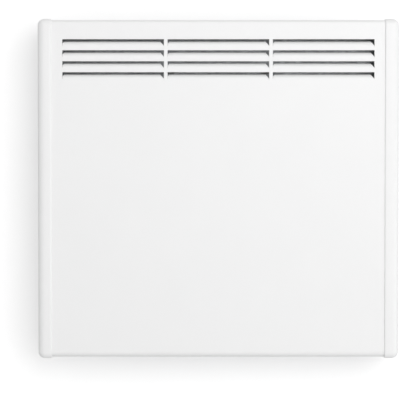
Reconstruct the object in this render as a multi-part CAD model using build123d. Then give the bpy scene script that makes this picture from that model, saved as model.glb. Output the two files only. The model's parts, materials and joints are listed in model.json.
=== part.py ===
from build123d import *
from math import asin, atan2, degrees
import os

# A wall panel convector heater on its wall bracket, in millimetres. X runs along the wall to the
# viewer's right, Z is up and the front faces -Y. The origin is the centre of the four wall screws,
# on the wall. The heater hangs on the bracket's two lower hooks and tilts forward about them.

# overall
overall_width = 425.0
overall_height = 400.0
wall_gap = 28.0  # from the wall to the rear panel
casing_depth = 55.0  # from the rear panel's outer face to the front panel's face
fixed_gap = 0.05  # between fixed pieces that seat on each other
running_gap = 0.06  # between a shaft and its bore
clear_gap = 0.3  # between pieces that move past each other
past = 1.0  # how far a cut reaches beyond what it cuts
bar_sides = 8  # of small round pieces and their holes
lead_sides = 6

# moulded end caps
cap_width = 15.0
cap_proud = 1.5  # how far a cap stands proud of the sheets
cap_wall = 2.4
cap_lap = 6.0  # how far the sheets' ends reach into a cap
cap_lap_gap = 0.1
cap_corner = 8.0  # seen from the front
cap_front_round = 5.0
cap_back_bevel = 1.5
cap_seam_bevel = 0.4

# folded sheets
front_sheet = 0.9
rear_sheet = 0.8
fold_radius = 4.0
top_lip = 10.0  # folded down inside, where the rear panel is screwed on
bottom_return = 17.0
rear_flange = 12.0
rear_top_step = 1.0  # how far the rear panel's top edge lies below the front panel's top
bead_drop = 94.5  # from the panel's top to the first bead
bead_pitch = 58.0
bead_margin = 4.0  # least distance from the last bead to the cut-out
bead_height = 14.0
bead_depth = 2.5

# louvres, lanced and pressed inwards
louvre_rows = 4
louvre_length = 119.3
louvre_column_gap = 4.4
louvre_margin = 12.0  # least distance from the columns to an end cap
louvre_pitch = 12.9
louvre_drop = 22.5  # from the panel's top to the first slit
louvre_slit = 2.3
louvre_rise = 5.8
louvre_depth = 4.0
louvre_shear = 0.2
left_clip_width = 3.0
left_clip_height = 2.2
right_clip_width = 5.0
right_clip_height = 5.4

# air inlet strip at the bottom
inlet_sheet = 0.8
inlet_lap = 8.0
inlet_slot_width = 5.0
inlet_slot_pitch = 12.0
inlet_slot_margin = 2.0
inlet_end_margin = 17.0

# hooks and catches
hinge_rise = 56.5  # from the panel's bottom to the tilt axis
hem_radius = 2.0
hem_turn = 270.0
hem_tab = 6.0  # height of the tab above the curl
hem_relief = 0.5  # slit either side of the tab
hem_play = 0.1
hook_nose = 3.0
hook_nose_rise = 1.0
hook_under = 5.0
hook_slot_width = 12.0
hook_slot_height = 18.0
catch_x = 60.0
catch_drop = 9.0  # from the bracket's top
catch_width = 14.0
catch_sheet = 0.8
catch_bend = 3.0
catch_foot = 16.0
catch_nose = 2.6
catch_ramp = 6.0
catch_slot_play = 2.0
catch_slot_above = 0.6

# wall bracket
bracket_width = 242.0
bracket_drop = 48.5  # from the panel's top to the bracket's
bracket_sheet = 1.5
bracket_rail = 30.0
bracket_cross = 28.0
bracket_flange = 20.0
bracket_window_corner = 6.0
screw_spacing_z = 200.0  # sideways the wall screws sit in the middle of the rails
wall_screw_radius = 2.75
pad_flange = 24.4
pad_drop = 32.0  # from the bracket's top to a pad's foot
pad_length = 20.0
pad_wall = 2.0
pad_front = 3.3

# finned element
element_rise = 103.5  # from the panel's bottom to the element's axis
element_stand = 28.0  # from the rear panel's outer face to the element's axis
element_radius = 4.2
element_left_inset = 29.5  # from the left cap
element_right_inset = 39.5  # from the right cap
fin_depth = 26.0
fin_height = 50.0
fin_sheet = 0.6
fin_hole_sides = 6
fin_pitch = 10.0
insulator_radius = 3.4
insulator_length = 6.0
pin_radius = 1.6
pin_length = 8.0
carrier_inset = 47.5  # element brackets, from either cap
carrier_sheet = 1.2
carrier_height = 44.0
carrier_margin = 12.0
carrier_foot = 14.0
bush_radius = 7.0
bush_groove_radius = 5.8
bush_flange = 1.6
rivet_radius = 1.6
rivet_head_radius = 3.0
rivet_head = 1.0

# reflector sheet behind the element
guide_sheet = 0.6
guide_above = 44.0  # above the element's axis
guide_below = 32.0
guide_stand = 9.0
guide_foot = 9.0
guide_fold = 1.5

# control well in the right cap
well_y = -56.0
well_drop = 138.5  # from the panel's top to the well's middle
well_length = 104.0
well_width = 44.0
well_depth = 9.0
well_wall = 2.0
well_rim_bevel = 0.8

# thermostat and its knob
knob_above = 26.0  # above the well's middle
knob_radius = 18.0
knob_height = 7.6
knob_draft = 1.0
knob_wall = 2.0
knob_lift = 0.8
knob_grips = 24  # flats round its rim
knob_hub_radius = 5.5
pointer_width = 1.6
pointer_depth = 0.6
shaft_radius = 3.0
shaft_cover = 1.6  # the knob's top over the shaft's end
neck_radius = 4.5
neck_stand = 2.8
nut_size = 6.4
nut_height = 2.2
stat_depth = 26.0
stat_width = 36.0
stat_height = 36.0
stat_bore_depth = 12.0
body_bevel = 2.0  # along the edges of the hidden moulded bodies

# switch
switch_below = 30.0  # below the well's middle
rocker_length = 17.0
rocker_width = 10.6
rocker_stand = 5.2
rocker_waist = 3.6
rocker_root = 3.5
rocker_tip_round = 0.6
rocker_tilt = 8.0  # at rest, either side of level
pivot_inset = 1.0
pivot_radius = 1.2
pivot_length = 0.9
switch_wall = 1.3
switch_play = 1.1
bezel_margin = 2.0
bezel_height = 1.8
switch_depth = 18.0
tab_width = 6.3
tab_sheet = 0.8
tab_length = 8.0
tab_pitch = 7.0

# overheat cut-out
cutout_inset = 37.5  # from the right cap
cutout_above = 49.0  # above the element's axis
cutout_width = 22.0
cutout_height = 30.0
cutout_depth = 17.0
capillary_radius = 1.0
capillary_bend = 5.0
capillary_above = 32.0  # above the element's axis
capillary_start = 12.0  # how far the line runs straight out of the cut-out
capillary_clip_inset = 48.0  # from the end of the line
capillary_clip_width = 8.0
capillary_clip_foot = 3.0

# supply entry
block_inset = 29.5  # from the right cap
block_rise = 70.5  # from the panel's bottom
block_length = 34.0
block_height = 17.0
block_base = 5.0
block_tower = 10.0
block_poles = 3
block_gap = 2.4
block_screw_radius = 2.0
block_screw_sink = 1.0  # below the tower's top
block_screw_end = 4.0
block_screw_slot = 0.6
gland_inset = 25.5
gland_rise = 24.5
gland_bore = 3.7
gland_thread = 7.5
thread_sides = 18
gland_hex = 10.0
gland_hex_height = 4.0
gland_dome = 7.0
gland_dome_radius = 7.0
gland_inside = 8.0
gland_nut_height = 4.0
earth_inset = 57.5
earth_rise = 22.5
earth_radius = 2.0
earth_length = 12.0
earth_ring_radius = 4.2
earth_ring_sheet = 1.0
earth_nut_size = 4.0
earth_nut_height = 3.2
earth_nut_stand = 3.0

# leads and their clips
lead_radius = 1.1
lead_bend = 5.0
lead_loop = 11.0  # how far a lead stands off where it turns
lead_stand = 10.0  # from the rear panel's outer face to a lead's axis
lead_rise = 14.5  # from the panel's bottom to the neutral lead
lead_clip_inset = 77.5  # from either cap
lead_clip_size = 4.0
lead_clip_wall = 1.2
lead_clip_mouth = 1.6

# screws
screw_radius = 1.5
screw_hole_gap = 0.2
screw_head_radius = 2.8
screw_head = 1.4
screw_head_taper = 30.0  # degrees
screw_length = 6.0
lid_screw_inset = 17.5  # from either cap
lid_screw_count = 4
lid_screw_drop = 6.0
cap_screw_inset = 48.5  # from the panel's top and bottom
inlet_screw_inset = 37.5  # from either cap

# places worked out from the sizes above
rear_y = -wall_gap
rear_inner = rear_y - rear_sheet
front_y = rear_y - casing_depth
panel_half = overall_width / 2 - cap_width
sheet_half = panel_half + cap_lap - cap_lap_gap
panel_top = overall_height / 2 - cap_proud
cap_outer = overall_width / 2
floor_x = cap_outer - well_depth
floor_inner = floor_x - cap_wall
pivot_x = floor_x - pivot_inset

bracket_half = bracket_width / 2
bracket_top = panel_top - bracket_drop
catch_level = bracket_top - catch_drop
pad_level = bracket_top - pad_drop
hinge_y = rear_y - hem_radius
hinge_level = hinge_rise - panel_top
bracket_bottom = hinge_level - hem_radius - hem_play - hook_under

well_level = panel_top - well_drop
knob_level = well_level + knob_above
switch_level = well_level - switch_below
cap_screw_level = panel_top - cap_screw_inset
inlet_screw_x = panel_half - inlet_screw_inset

element_y = rear_y - element_stand
element_level = element_rise - panel_top
element_left = element_left_inset - panel_half
element_right = panel_half - element_right_inset
carrier_x = panel_half - carrier_inset
fins_half = carrier_x - carrier_margin  # the fins and the reflector end here
cutout_x = panel_half - cutout_inset
cutout_level = element_level + cutout_above
capillary_clip_x = fins_half - capillary_clip_inset

block_x = panel_half - block_inset
block_level = block_rise - panel_top
gland_x = panel_half - gland_inset
gland_level = gland_rise - panel_top
earth_x = panel_half - earth_inset
earth_level = earth_rise - panel_top
lead_y = rear_y - lead_stand
lead_low_level = lead_rise - panel_top
lead_clip_x = panel_half - lead_clip_inset


def block(x, y, z):
    """A box between pairs of limits."""
    size = Box(abs(x[1] - x[0]), abs(y[1] - y[0]), abs(z[1] - z[0]))
    return Pos(sum(x) / 2, sum(y) / 2, sum(z) / 2) * size


def rod(start, end, radius):
    axis = Vector(*end) - Vector(*start)
    bottom = (Align.CENTER, Align.CENTER, Align.MIN)
    return Plane(origin=start, z_dir=axis) * Cylinder(radius, axis.length, align=bottom)


def bar(start, end, radius, sides=bar_sides):
    """A many-sided bar for small round pieces; its flats lie at the radius."""
    axis = Vector(*end) - Vector(*start)
    outline = RegularPolygon(radius, sides, major_radius=False)
    return extrude(Plane(origin=start, z_dir=axis) * outline, amount=axis.length)


def across(profile, x_from, x_to):
    """A profile drawn in Y and Z, run along X."""
    return extrude(Plane.YZ.offset(x_from) * profile, amount=x_to - x_from, dir=(1, 0, 0))


def folded(points, thickness, side, x_from, x_to, radius=fold_radius):
    """Sheet folded along a path of (y, z) points, with its thickness to one side of the path."""
    path = FilletPolyline(*points, radius=radius)
    strip = make_face(offset(path, amount=thickness, side=side).edges())
    return across(strip, x_from, x_to)


def pan_screw(seat, direction):
    """A screw whose head sits on seat and whose shank runs along direction."""
    seat = Vector(*seat)
    way = Vector(*direction)
    outline = RegularPolygon(screw_head_radius, bar_sides, major_radius=False)
    head = extrude(Plane(origin=seat, z_dir=-way) * outline, amount=screw_head, taper=screw_head_taper)
    return head + bar(seat, seat + way * screw_length, screw_radius)


def screw_hole(start, end):
    return bar(start, end, screw_radius + screw_hole_gap)


def cut_across(points, bend):
    """The points of a route with each of its turns cut across."""
    route = [Vector(*point) for point in points]
    cut = [route[0]]
    for before, turn, after in zip(route, route[1:], route[2:]):
        cut.append(turn + (before - turn).normalized() * bend)
        cut.append(turn + (after - turn).normalized() * bend)
    return cut + [route[-1]]


def lead(points, radius=lead_radius, bend=lead_bend):
    path = Polyline(*cut_across(points, bend))
    section = Plane(origin=path @ 0, z_dir=path % 0) * RegularPolygon(radius, lead_sides)
    return sweep(section, path=path, transition=Transition.RIGHT)


def group(solids):
    return Compound(children=[solid for item in solids for solid in item.solids()])


# front panel

def louvre_flap(x_from, hinge_z):
    """One scoop: it leaves the sheet at its lower edge and curves inwards to the slit above."""
    radius = (louvre_rise**2 + louvre_depth**2) / (2 * louvre_depth)
    swing = degrees(asin(louvre_rise / radius))
    centre = (front_y + radius, hinge_z)
    outer = CenterArc(centre, radius, 180, -swing)
    inner = CenterArc(centre, radius - front_sheet, 180, -swing)
    profile = make_face([outer, inner, Line(outer @ 0, inner @ 0), Line(outer @ 1, inner @ 1)])
    x_to = x_from + louvre_length
    flap = across(profile, x_from + louvre_shear, x_to - louvre_shear)
    top = hinge_z + louvre_rise + front_sheet
    for x, width, height in (
        (x_from, left_clip_width, left_clip_height),
        (x_to, -right_clip_width, right_clip_height),
    ):
        clip = Polygon((x, top), (x + width, top), (x, top - front_sheet - height), align=None)
        flap -= extrude(Plane.XZ.offset(1 - front_y) * clip, amount=2 * louvre_depth, dir=(0, 1, 0))
    return flap


def louvre_places():
    """As many columns as fit between the caps, and the same rows in each."""
    pitch = louvre_length + louvre_column_gap
    columns = int((2 * (panel_half - louvre_margin) + louvre_column_gap) / pitch)
    first_x = -(columns * pitch - louvre_column_gap) / 2
    first_z = panel_top - louvre_drop - louvre_slit - louvre_rise
    for column in range(columns):
        for row in range(louvre_rows):
            yield first_x + column * pitch, first_z - row * louvre_pitch


def lid_screw_places():
    far = panel_half - lid_screw_inset
    pitch = 2 * far / (lid_screw_count - 1)
    return [n * pitch - far for n in range(lid_screw_count)]


def inlet_screw_holes(y):
    return [
        screw_hole((x, y, -panel_top - past), (x, y, -panel_top + front_sheet + inlet_sheet + past))
        for x in (-inlet_screw_x, inlet_screw_x)
    ]


def front_panel():
    lip_y = rear_inner - fixed_gap
    path = (
        (lip_y, panel_top - top_lip),
        (lip_y, panel_top),
        (front_y, panel_top),
        (front_y, -panel_top),
        (front_y + bottom_return, -panel_top),
    )
    panel = folded(path, front_sheet, Side.LEFT, -sheet_half, sheet_half)
    height = louvre_rise + louvre_slit
    level = panel_top - lid_screw_drop
    windows = [
        block((x, x + louvre_length), (front_y - past, front_y + front_sheet + past), (z, z + height))
        for x, z in louvre_places()
    ]
    panel -= windows
    panel += [louvre_flap(x, z) for x, z in louvre_places()]
    lip = (rear_y, lip_y - front_sheet - past)
    panel -= [screw_hole((x, lip[0], level), (x, lip[1], level)) for x in lid_screw_places()]
    return panel - inlet_screw_holes(front_y + bottom_return - inlet_lap / 2)


# rear panel

def bead_tops():
    """As many stiffening beads as fit above the cut-out."""
    first = panel_top - bead_drop
    last = cutout_level + cutout_height / 2 + bead_margin + bead_height
    return [first - n * bead_pitch for n in range(int((first - last) / bead_pitch) + 1)]


def rear_path():
    """Down the outer face, stepping in at each bead, then forward along the bottom."""
    points = [(rear_y, panel_top - rear_top_step)]
    for top in bead_tops():
        points += [
            (rear_y, top),
            (rear_y - bead_depth, top - bead_depth),
            (rear_y - bead_depth, top - bead_height + bead_depth),
            (rear_y, top - bead_height),
        ]
    return points + [(rear_y, -panel_top), (rear_y - rear_flange, -panel_top)]


def hem_outline():
    """The tab above a hook slot: straight down the panel, then curled in round the tilt axis."""
    centre = (hinge_y, hinge_level)
    outer = CenterArc(centre, hem_radius, 0, -hem_turn)
    inner = CenterArc(centre, hem_radius - rear_sheet, 0, -hem_turn)
    top = hinge_level + hem_tab
    back = Polyline(inner @ 0, (rear_inner, top), (rear_y, top), outer @ 0)
    return make_face([outer, inner, back, Line(outer @ 1, inner @ 1)])


def rear_panel():
    path = rear_path()
    radii = [0] * (len(path) - 3) + [fold_radius]
    panel = folded(path, rear_sheet, Side.RIGHT, -sheet_half, sheet_half, radii)
    through = (rear_inner - bead_depth, rear_y + past)
    hook_x = bracket_half - bracket_sheet / 2
    for x in (-hook_x, hook_x):
        reach = hook_slot_width / 2
        slot = (hinge_level - hook_slot_height, hinge_level + hem_tab)
        panel -= block((x - reach, x + reach), through, slot)
        panel += across(hem_outline(), x - reach + hem_relief, x + reach - hem_relief)
    slot = (catch_level - catch_sheet - catch_slot_play, catch_level + catch_slot_above)
    for x in (-catch_x, catch_x):
        reach = catch_width / 2 + catch_slot_play
        panel -= block((x - reach, x + reach), through, slot)
    level = panel_top - lid_screw_drop
    screws = [(x, level) for x in lid_screw_places()]
    screws += [(x, z) for x in cap_screw_xs() for z in cap_screw_levels()]
    panel -= [screw_hole((x, through[0], z), (x, through[1], z)) for x, z in screws]
    panel -= rivet_holes()
    panel -= gland_hole(*through)
    panel -= earth_hole(*through)
    return panel - inlet_screw_holes(rear_y - rear_flange + inlet_lap / 2)


def inlet_grille():
    y_front = front_y + bottom_return - inlet_lap
    y_back = rear_y - rear_flange + inlet_lap
    level = -panel_top + front_sheet
    strip = block((-sheet_half, sheet_half), (y_front, y_back), (level, level + inlet_sheet))
    through = (level - past, level + inlet_sheet + past)
    slot_front = front_y + bottom_return + inlet_slot_margin
    slot_back = rear_y - rear_flange - inlet_slot_margin
    count = int(2 * (panel_half - inlet_end_margin) / inlet_slot_pitch)
    first = -((count - 1) * inlet_slot_pitch + inlet_slot_width) / 2
    slots = [
        block((x, x + inlet_slot_width), (slot_front, slot_back), through)
        for x in (first + n * inlet_slot_pitch for n in range(count))
    ]
    strip -= slots
    strip -= inlet_screw_holes(y_front + inlet_lap / 2)
    return strip - inlet_screw_holes(y_back - inlet_lap / 2)


# end caps

def cap_block(x_from, inset):
    """The cap's form with its outer corners rounded, or the space inside when inset is its wall."""
    top = overall_height / 2 - inset
    y = (front_y - cap_proud + inset, rear_y + cap_proud - inset)
    form = block((x_from, cap_outer - inset), y, (-top, top))
    return fillet(form.edges().filter_by(Axis.Y).group_by(Axis.X)[-1], cap_corner - inset)


def cap_screw_xs():
    x = panel_half + cap_lap / 2
    return (-x, x)


def cap_screw_levels():
    return (-cap_screw_level, cap_screw_level)


def plain_cap():
    cap = cap_block(panel_half, 0)
    front = cap.faces().sort_by(Axis.Y)[0]
    cap = fillet(front.edges().sort_by(Axis.X)[1:], cap_front_round)
    back = cap.faces().sort_by(Axis.Y)[-1]
    cap = chamfer(back.edges().sort_by(Axis.X)[1:], cap_back_bevel)
    seam = cap.edges().filter_by(Axis.Z).group_by(Axis.X)[0].sort_by(Axis.Y)[0]
    cap = chamfer(seam, cap_seam_bevel)
    cap -= cap_block(panel_half - past, cap_wall)
    lap = (panel_half - past, panel_half + cap_lap)
    top = panel_top + cap_lap_gap
    cap -= block(lap, (front_y - cap_lap_gap, rear_y + cap_lap_gap), (-top, top))
    x = cap_screw_xs()[1]
    through = (rear_y - past, rear_y + cap_proud + past)
    return cap - [screw_hole((x, through[0], z), (x, through[1], z)) for z in cap_screw_levels()]


def well_outline(margin):
    slot = SlotOverall(well_length + 2 * margin, well_width + 2 * margin, rotation=90)
    return Pos(well_y, well_level) * slot


def end_cap_right():
    """The right cap holds the controls in a well that is sunk in its side."""
    cap = plain_cap()
    cap += across(well_outline(well_wall), floor_inner, cap_outer - cap_wall / 2)
    cap -= across(well_outline(0), floor_x, cap_outer + past)
    flat = cap.faces().filter_by(Axis.X).sort_by(Axis.X)[-1]
    cap = chamfer(flat.inner_wires().edges(), well_rim_bevel)
    through = (floor_inner - past, floor_x + past)
    cap -= bar(stat_axis(through[0]), stat_axis(through[1]), neck_radius + fixed_gap)
    y, z = switch_outer(fixed_gap)
    return cap - block(through, y, z)


def end_cap_left():
    return mirror(plain_cap(), about=Plane.YZ)


# wall bracket

def flange_outline():
    """The side flange, with the hook at its foot and a deeper stretch for the pad near its top."""
    hook_front = hinge_y - hem_radius - hem_play - hook_nose
    notch_back = hinge_y + hem_radius + hem_play
    nose_top = hinge_level + hook_nose_rise
    slope = notch_back + bracket_flange
    points = (
        (0, bracket_bottom),
        (hook_front, bracket_bottom),
        (hook_front, nose_top),
        (notch_back, nose_top),
        (notch_back, hinge_level),
        (-bracket_flange, hinge_level - slope),
        (-bracket_flange, pad_level - pad_flange + bracket_flange),
        (-pad_flange, pad_level),
        (-pad_flange, pad_level + pad_length),
        (-bracket_flange, pad_level + pad_length + pad_flange - bracket_flange),
        (-bracket_flange, bracket_top),
        (0, bracket_top),
    )
    outline = Polygon(*points, align=None)
    notch = hem_radius + hem_play
    outline -= Pos(hinge_y, hinge_level) * Circle(notch)
    above = Pos(hinge_y, hinge_level + hook_nose_rise) * Rectangle(2 * notch, 2 * hook_nose_rise)
    return outline - above


def wall_bracket():
    height = bracket_top - bracket_bottom
    window_size = (bracket_width - 2 * bracket_rail, height - 2 * bracket_cross)
    web = Rectangle(bracket_width, height) - RectangleRounded(*window_size, bracket_window_corner)
    web = Pos(0, (bracket_bottom + bracket_top) / 2) * web
    rail_middle = bracket_half - bracket_rail / 2
    for x in (-rail_middle, rail_middle):
        for z in (-screw_spacing_z / 2, screw_spacing_z / 2):
            web -= Pos(x, z) * Circle(wall_screw_radius)
    bracket = extrude(Plane.XZ * web, amount=bracket_sheet)
    outline = flange_outline()
    bracket += across(outline, bracket_half - bracket_sheet, bracket_half)
    return bracket + across(outline, -bracket_half, -bracket_half + bracket_sheet)


def latch_clips():
    """Spring strips on the bracket's top rail whose noses catch behind the rear panel."""
    rise_y = rear_inner - clear_gap
    path = (
        (-bracket_sheet, catch_level - catch_foot),
        (-bracket_sheet, catch_level),
        (rise_y, catch_level),
        (rise_y - catch_nose / 2, catch_level + catch_nose),
        (rise_y - catch_nose / 2 - catch_ramp, catch_level - catch_nose / 2),
    )
    radii = [catch_bend, 0, 0]
    clips = []
    for x in (-catch_x, catch_x):
        reach = catch_width / 2
        clips.append(folded(path, catch_sheet, Side.LEFT, x - reach, x + reach, radii))
    return group(clips)


def bracket_pads():
    """Rubber edging on the flanges, where the rear panel lies against the bracket."""
    y = (-bracket_flange, -pad_flange - pad_front)
    z = (pad_level, pad_level + pad_length)
    pads = []
    for side in (-1, 1):
        outer = side * (bracket_half + pad_wall)
        inner = side * (bracket_half - bracket_sheet - pad_wall)
        groove = (side * (bracket_half + fixed_gap), side * (bracket_half - bracket_sheet - fixed_gap))
        pad = block((inner, outer), y, z)
        pads.append(pad - block(groove, (0, -pad_flange - fixed_gap), (z[0] - past, z[1] + past)))
    return group(pads)


# element and its carriers

def element_point(x):
    return (x, element_y, element_level)


def heating_tube():
    return rod(element_point(element_left), element_point(element_right), element_radius)


def heating_fins():
    count = int(2 * fins_half / fin_pitch)
    first = -(count - 1) * fin_pitch / 2
    hole = RegularPolygon(element_radius + fixed_gap, fin_hole_sides, major_radius=False)
    outline = Pos(element_y, element_level) * (Rectangle(fin_depth, fin_height) - hole)
    starts = [first + n * fin_pitch for n in range(count)]
    return group([across(outline, x, x + fin_sheet) for x in starts])


def element_ends():
    """(end of the sheath, which way the element leaves it) at both ends."""
    return ((element_left, -1), (element_right, 1))


def element_insulators():
    rings = []
    for x, way in element_ends():
        reach = element_point(x + way * insulator_length)
        bore = bar(element_point(x), reach, pin_radius + fixed_gap)
        rings.append(bar(element_point(x), reach, insulator_radius) - bore)
    return group(rings)


def element_pins():
    return group(
        bar(element_point(x), element_point(x + way * (insulator_length + pin_length)), pin_radius)
        for x, way in element_ends()
    )


def pin_end(way):
    x = element_right if way > 0 else element_left
    return x + way * (insulator_length + pin_length)


def element_bushes():
    bushes = []
    for x in (-carrier_x, carrier_x):
        half = carrier_sheet / 2 + fixed_gap
        left = bar(element_point(x - half - bush_flange), element_point(x - half), bush_radius)
        right = bar(element_point(x + half), element_point(x + half + bush_flange), bush_radius)
        core = bar(element_point(x - half), element_point(x + half), bush_groove_radius)
        reach = half + bush_flange
        bore = bar(element_point(x - reach), element_point(x + reach), element_radius + fixed_gap)
        bushes.append(left + core + right - bore)
    return group(bushes)


def element_bracket(side):
    """A folded plate: its foot lies on the rear panel and its web carries the bush."""
    x = side * carrier_x
    web = (x - carrier_sheet / 2, x + carrier_sheet / 2)
    z = (element_level - carrier_height / 2, element_level + carrier_height / 2)
    y_end = element_y - carrier_margin
    plate = block(web, (rear_inner, y_end), z)
    outer = x + side * (carrier_sheet / 2 + carrier_foot)
    plate += block((x, outer), (rear_inner, rear_inner - carrier_sheet), z)
    corners = plate.edges().filter_by(Axis.X).group_by(Axis.Y)[0]
    plate = chamfer(corners, carrier_margin / 2)
    hole = bush_groove_radius + fixed_gap
    plate -= bar(element_point(web[0] - past), element_point(web[1] + past), hole)
    return plate - rivet_holes()


def rivet_places():
    x = carrier_x + carrier_sheet / 2 + carrier_foot / 2
    reach = carrier_height / 2 - 1.5 * rivet_head_radius
    return [(side * x, element_level + way * reach) for side in (-1, 1) for way in (-1, 1)]


def rivet_holes():
    radius = rivet_radius + fixed_gap
    end = rear_inner - carrier_sheet - past
    return [bar((x, rear_y + past, z), (x, end, z), radius) for x, z in rivet_places()]


def element_rivets():
    rivets = []
    inside = rear_inner - carrier_sheet
    for x, z in rivet_places():
        shank = bar((x, rear_y, z), (x, inside, z), rivet_radius)
        outer = bar((x, rear_y, z), (x, rear_y + rivet_head, z), rivet_head_radius)
        inner = bar((x, inside, z), (x, inside - rivet_head, z), rivet_head_radius)
        rivets.append(shank + outer + inner)
    return group(rivets)


def air_guide():
    """Reflector behind the element, folded back to the rear panel along its top and bottom."""
    foot_y = rear_inner - fixed_gap
    stand_y = foot_y - guide_stand
    top = element_level + guide_above
    bottom = element_level - guide_below
    path = (
        (foot_y, top),
        (foot_y, top - guide_foot),
        (stand_y, top - guide_foot - guide_stand),
        (stand_y, bottom + guide_stand / 2),
        (foot_y - guide_sheet, bottom),
    )
    return folded(path, guide_sheet, Side.RIGHT, -fins_half, fins_half, guide_fold)


# thermostat

def knob_plane(x):
    return Plane(origin=(x, well_y, knob_level), x_dir=(0, 1, 0), z_dir=(1, 0, 0))


def stat_axis(x):
    return (x, well_y, knob_level)


def neck_end():
    return floor_x + nut_height + neck_stand - fixed_gap


def thermostat_body():
    face = floor_inner - fixed_gap
    half = stat_width / 2
    y = (well_y - half, well_y + half)
    z = (knob_level - stat_height / 2, knob_level + stat_height / 2)
    body = block((face - stat_depth, face), y, z)
    body = chamfer(body.edges().filter_by(Axis.X), body_bevel)
    body += bar(stat_axis(face), stat_axis(neck_end()), neck_radius)
    bore = (stat_axis(face - stat_bore_depth), stat_axis(neck_end() + past))
    return body - rod(*bore, shaft_radius + running_gap)


def thermostat_nut():
    top = floor_x + fixed_gap + nut_height
    nut = bar(stat_axis(floor_x + fixed_gap), stat_axis(top), nut_size, 6)
    return nut - bar(stat_axis(floor_x), stat_axis(top + past), neck_radius + fixed_gap)


def knob_top():
    return floor_x + knob_lift + knob_height


def thermostat_shaft():
    start = floor_inner - fixed_gap - stat_bore_depth + clear_gap
    return rod(stat_axis(start), stat_axis(knob_top() - shaft_cover - fixed_gap), shaft_radius)


def thermostat_knob():
    """A faceted cup over the nut, with a hub for the shaft and a pointer groove on its face."""
    draft = degrees(atan2(knob_draft, knob_height))
    knob = extrude(RegularPolygon(knob_radius, knob_grips), amount=knob_height, taper=draft)
    knob = chamfer(knob.faces().sort_by(Axis.Z)[-1].edges(), knob_draft)
    hub_bottom = neck_end() + clear_gap - floor_x - knob_lift
    inner = RegularPolygon(knob_radius - knob_draft - knob_wall, knob_grips)
    knob -= extrude(inner, amount=knob_height - knob_wall)
    hub = RegularPolygon(knob_hub_radius, bar_sides)
    knob += Pos(0, 0, hub_bottom) * extrude(hub, amount=knob_height - knob_wall - hub_bottom)
    reach = knob_radius - 3 * knob_draft
    groove = Box(pointer_width, reach, 2 * pointer_depth)
    knob -= Pos(0, reach / 2 + knob_draft, knob_height) * groove
    bore = RegularPolygon(shaft_radius + fixed_gap, bar_sides, major_radius=False)
    return knob_plane(floor_x + knob_lift) * (knob - extrude(bore, amount=knob_height - shaft_cover))


# switch

def switch_outer(margin):
    """The (y, z) spans of the switch's body, which passes through the cap's floor."""
    half_y = rocker_width / 2 + clear_gap + switch_wall + margin
    half_z = rocker_length / 2 + switch_play + switch_wall + margin
    return (well_y - half_y, well_y + half_y), (switch_level - half_z, switch_level + half_z)


def switch_body():
    y, z = switch_outer(0)
    body = block((floor_x - switch_depth, floor_x + fixed_gap + bezel_height), y, z)
    y, z = switch_outer(bezel_margin)
    bezel = block((floor_x + fixed_gap, floor_x + fixed_gap + bezel_height), y, z)
    rim = bezel.edges().group_by(Axis.X)[-1]
    body += chamfer(rim, bezel_height / 3)
    y, z = switch_outer(-switch_wall)
    body -= block((pivot_x - rocker_length / 2, floor_x + 2 * bezel_height), y, z)
    reach = rocker_width / 2 + pivot_length + clear_gap
    start = (pivot_x, well_y - reach, switch_level)
    end = (pivot_x, well_y + reach, switch_level)
    return body - rod(start, end, pivot_radius + running_gap)


def switch_rocker():
    """A shallow V that tips about its pivot, drawn level and then set at its off position."""
    half = rocker_length / 2
    waist = half / 2
    section = Polygon(
        (-rocker_root, -waist),
        (0, -half),
        (rocker_stand, -half),
        (rocker_waist, 0),
        (rocker_stand, half),
        (0, half),
        (-rocker_root, waist),
        align=None,
    )
    tips = section.vertices().filter_by(lambda v: v.X > rocker_waist)
    section = fillet(tips, rocker_tip_round)
    half_width = rocker_width / 2
    rocker = extrude(Plane.XZ.offset(half_width) * section, amount=rocker_width, dir=(0, 1, 0))
    reach = half_width + pivot_length
    rocker += rod((0, -reach, 0), (0, reach, 0), pivot_radius)
    return Pos(pivot_x, well_y, switch_level) * Rot(0, rocker_tilt, 0) * rocker


def tab_levels():
    return (switch_level - tab_pitch, switch_level + tab_pitch)


def switch_tabs():
    back = floor_x - switch_depth
    x = (back - tab_length, back)
    y = (well_y - tab_width / 2, well_y + tab_width / 2)
    return group(block(x, y, (z - tab_sheet / 2, z + tab_sheet / 2)) for z in tab_levels())


# overheat cut-out

def cutout_body():
    x = (cutout_x - cutout_width / 2, cutout_x + cutout_width / 2)
    z = (cutout_level - cutout_height / 2, cutout_level + cutout_height / 2)
    seat = rear_inner - fixed_gap
    body = block(x, (seat, seat - cutout_depth), z)
    return chamfer(body.edges().filter_by(Axis.Y), body_bevel)


def capillary_line():
    """The line's axis: straight out of the cut-out, then down and forward over the fins."""
    start_x = cutout_x - cutout_width / 2
    y = rear_inner - cutout_depth / 2
    level = element_level + capillary_above
    turn_x = start_x - capillary_start
    return (
        (start_x, y, cutout_level),
        (turn_x, y, cutout_level),
        (turn_x - capillary_start, element_y, level),
        (-fins_half, element_y, level),
    )


def cutout_capillary():
    return lead(capillary_line(), capillary_radius, capillary_bend)


def capillary_clips():
    """Arms from the air guide's face that carry the sensing line over the fins."""
    level = element_level + capillary_above - capillary_radius
    seat = rear_inner - fixed_gap - guide_stand - guide_sheet
    clips = []
    for x in (-capillary_clip_x, capillary_clip_x):
        span = (x - capillary_clip_width / 2, x + capillary_clip_width / 2)
        front = element_y - 2 * capillary_radius
        arm = block(span, (seat, front), (level - guide_sheet, level))
        foot = block(span, (seat, seat - guide_sheet), (level - capillary_clip_foot, level))
        stop = block(span, (front, front + guide_sheet), (level, level + capillary_radius))
        clips.append(arm + foot + stop)
    return group(clips)


# supply entry

def pole_places():
    pitch = block_length / block_poles
    return [block_x + (n - (block_poles - 1) / 2) * pitch for n in range(block_poles)]


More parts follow.
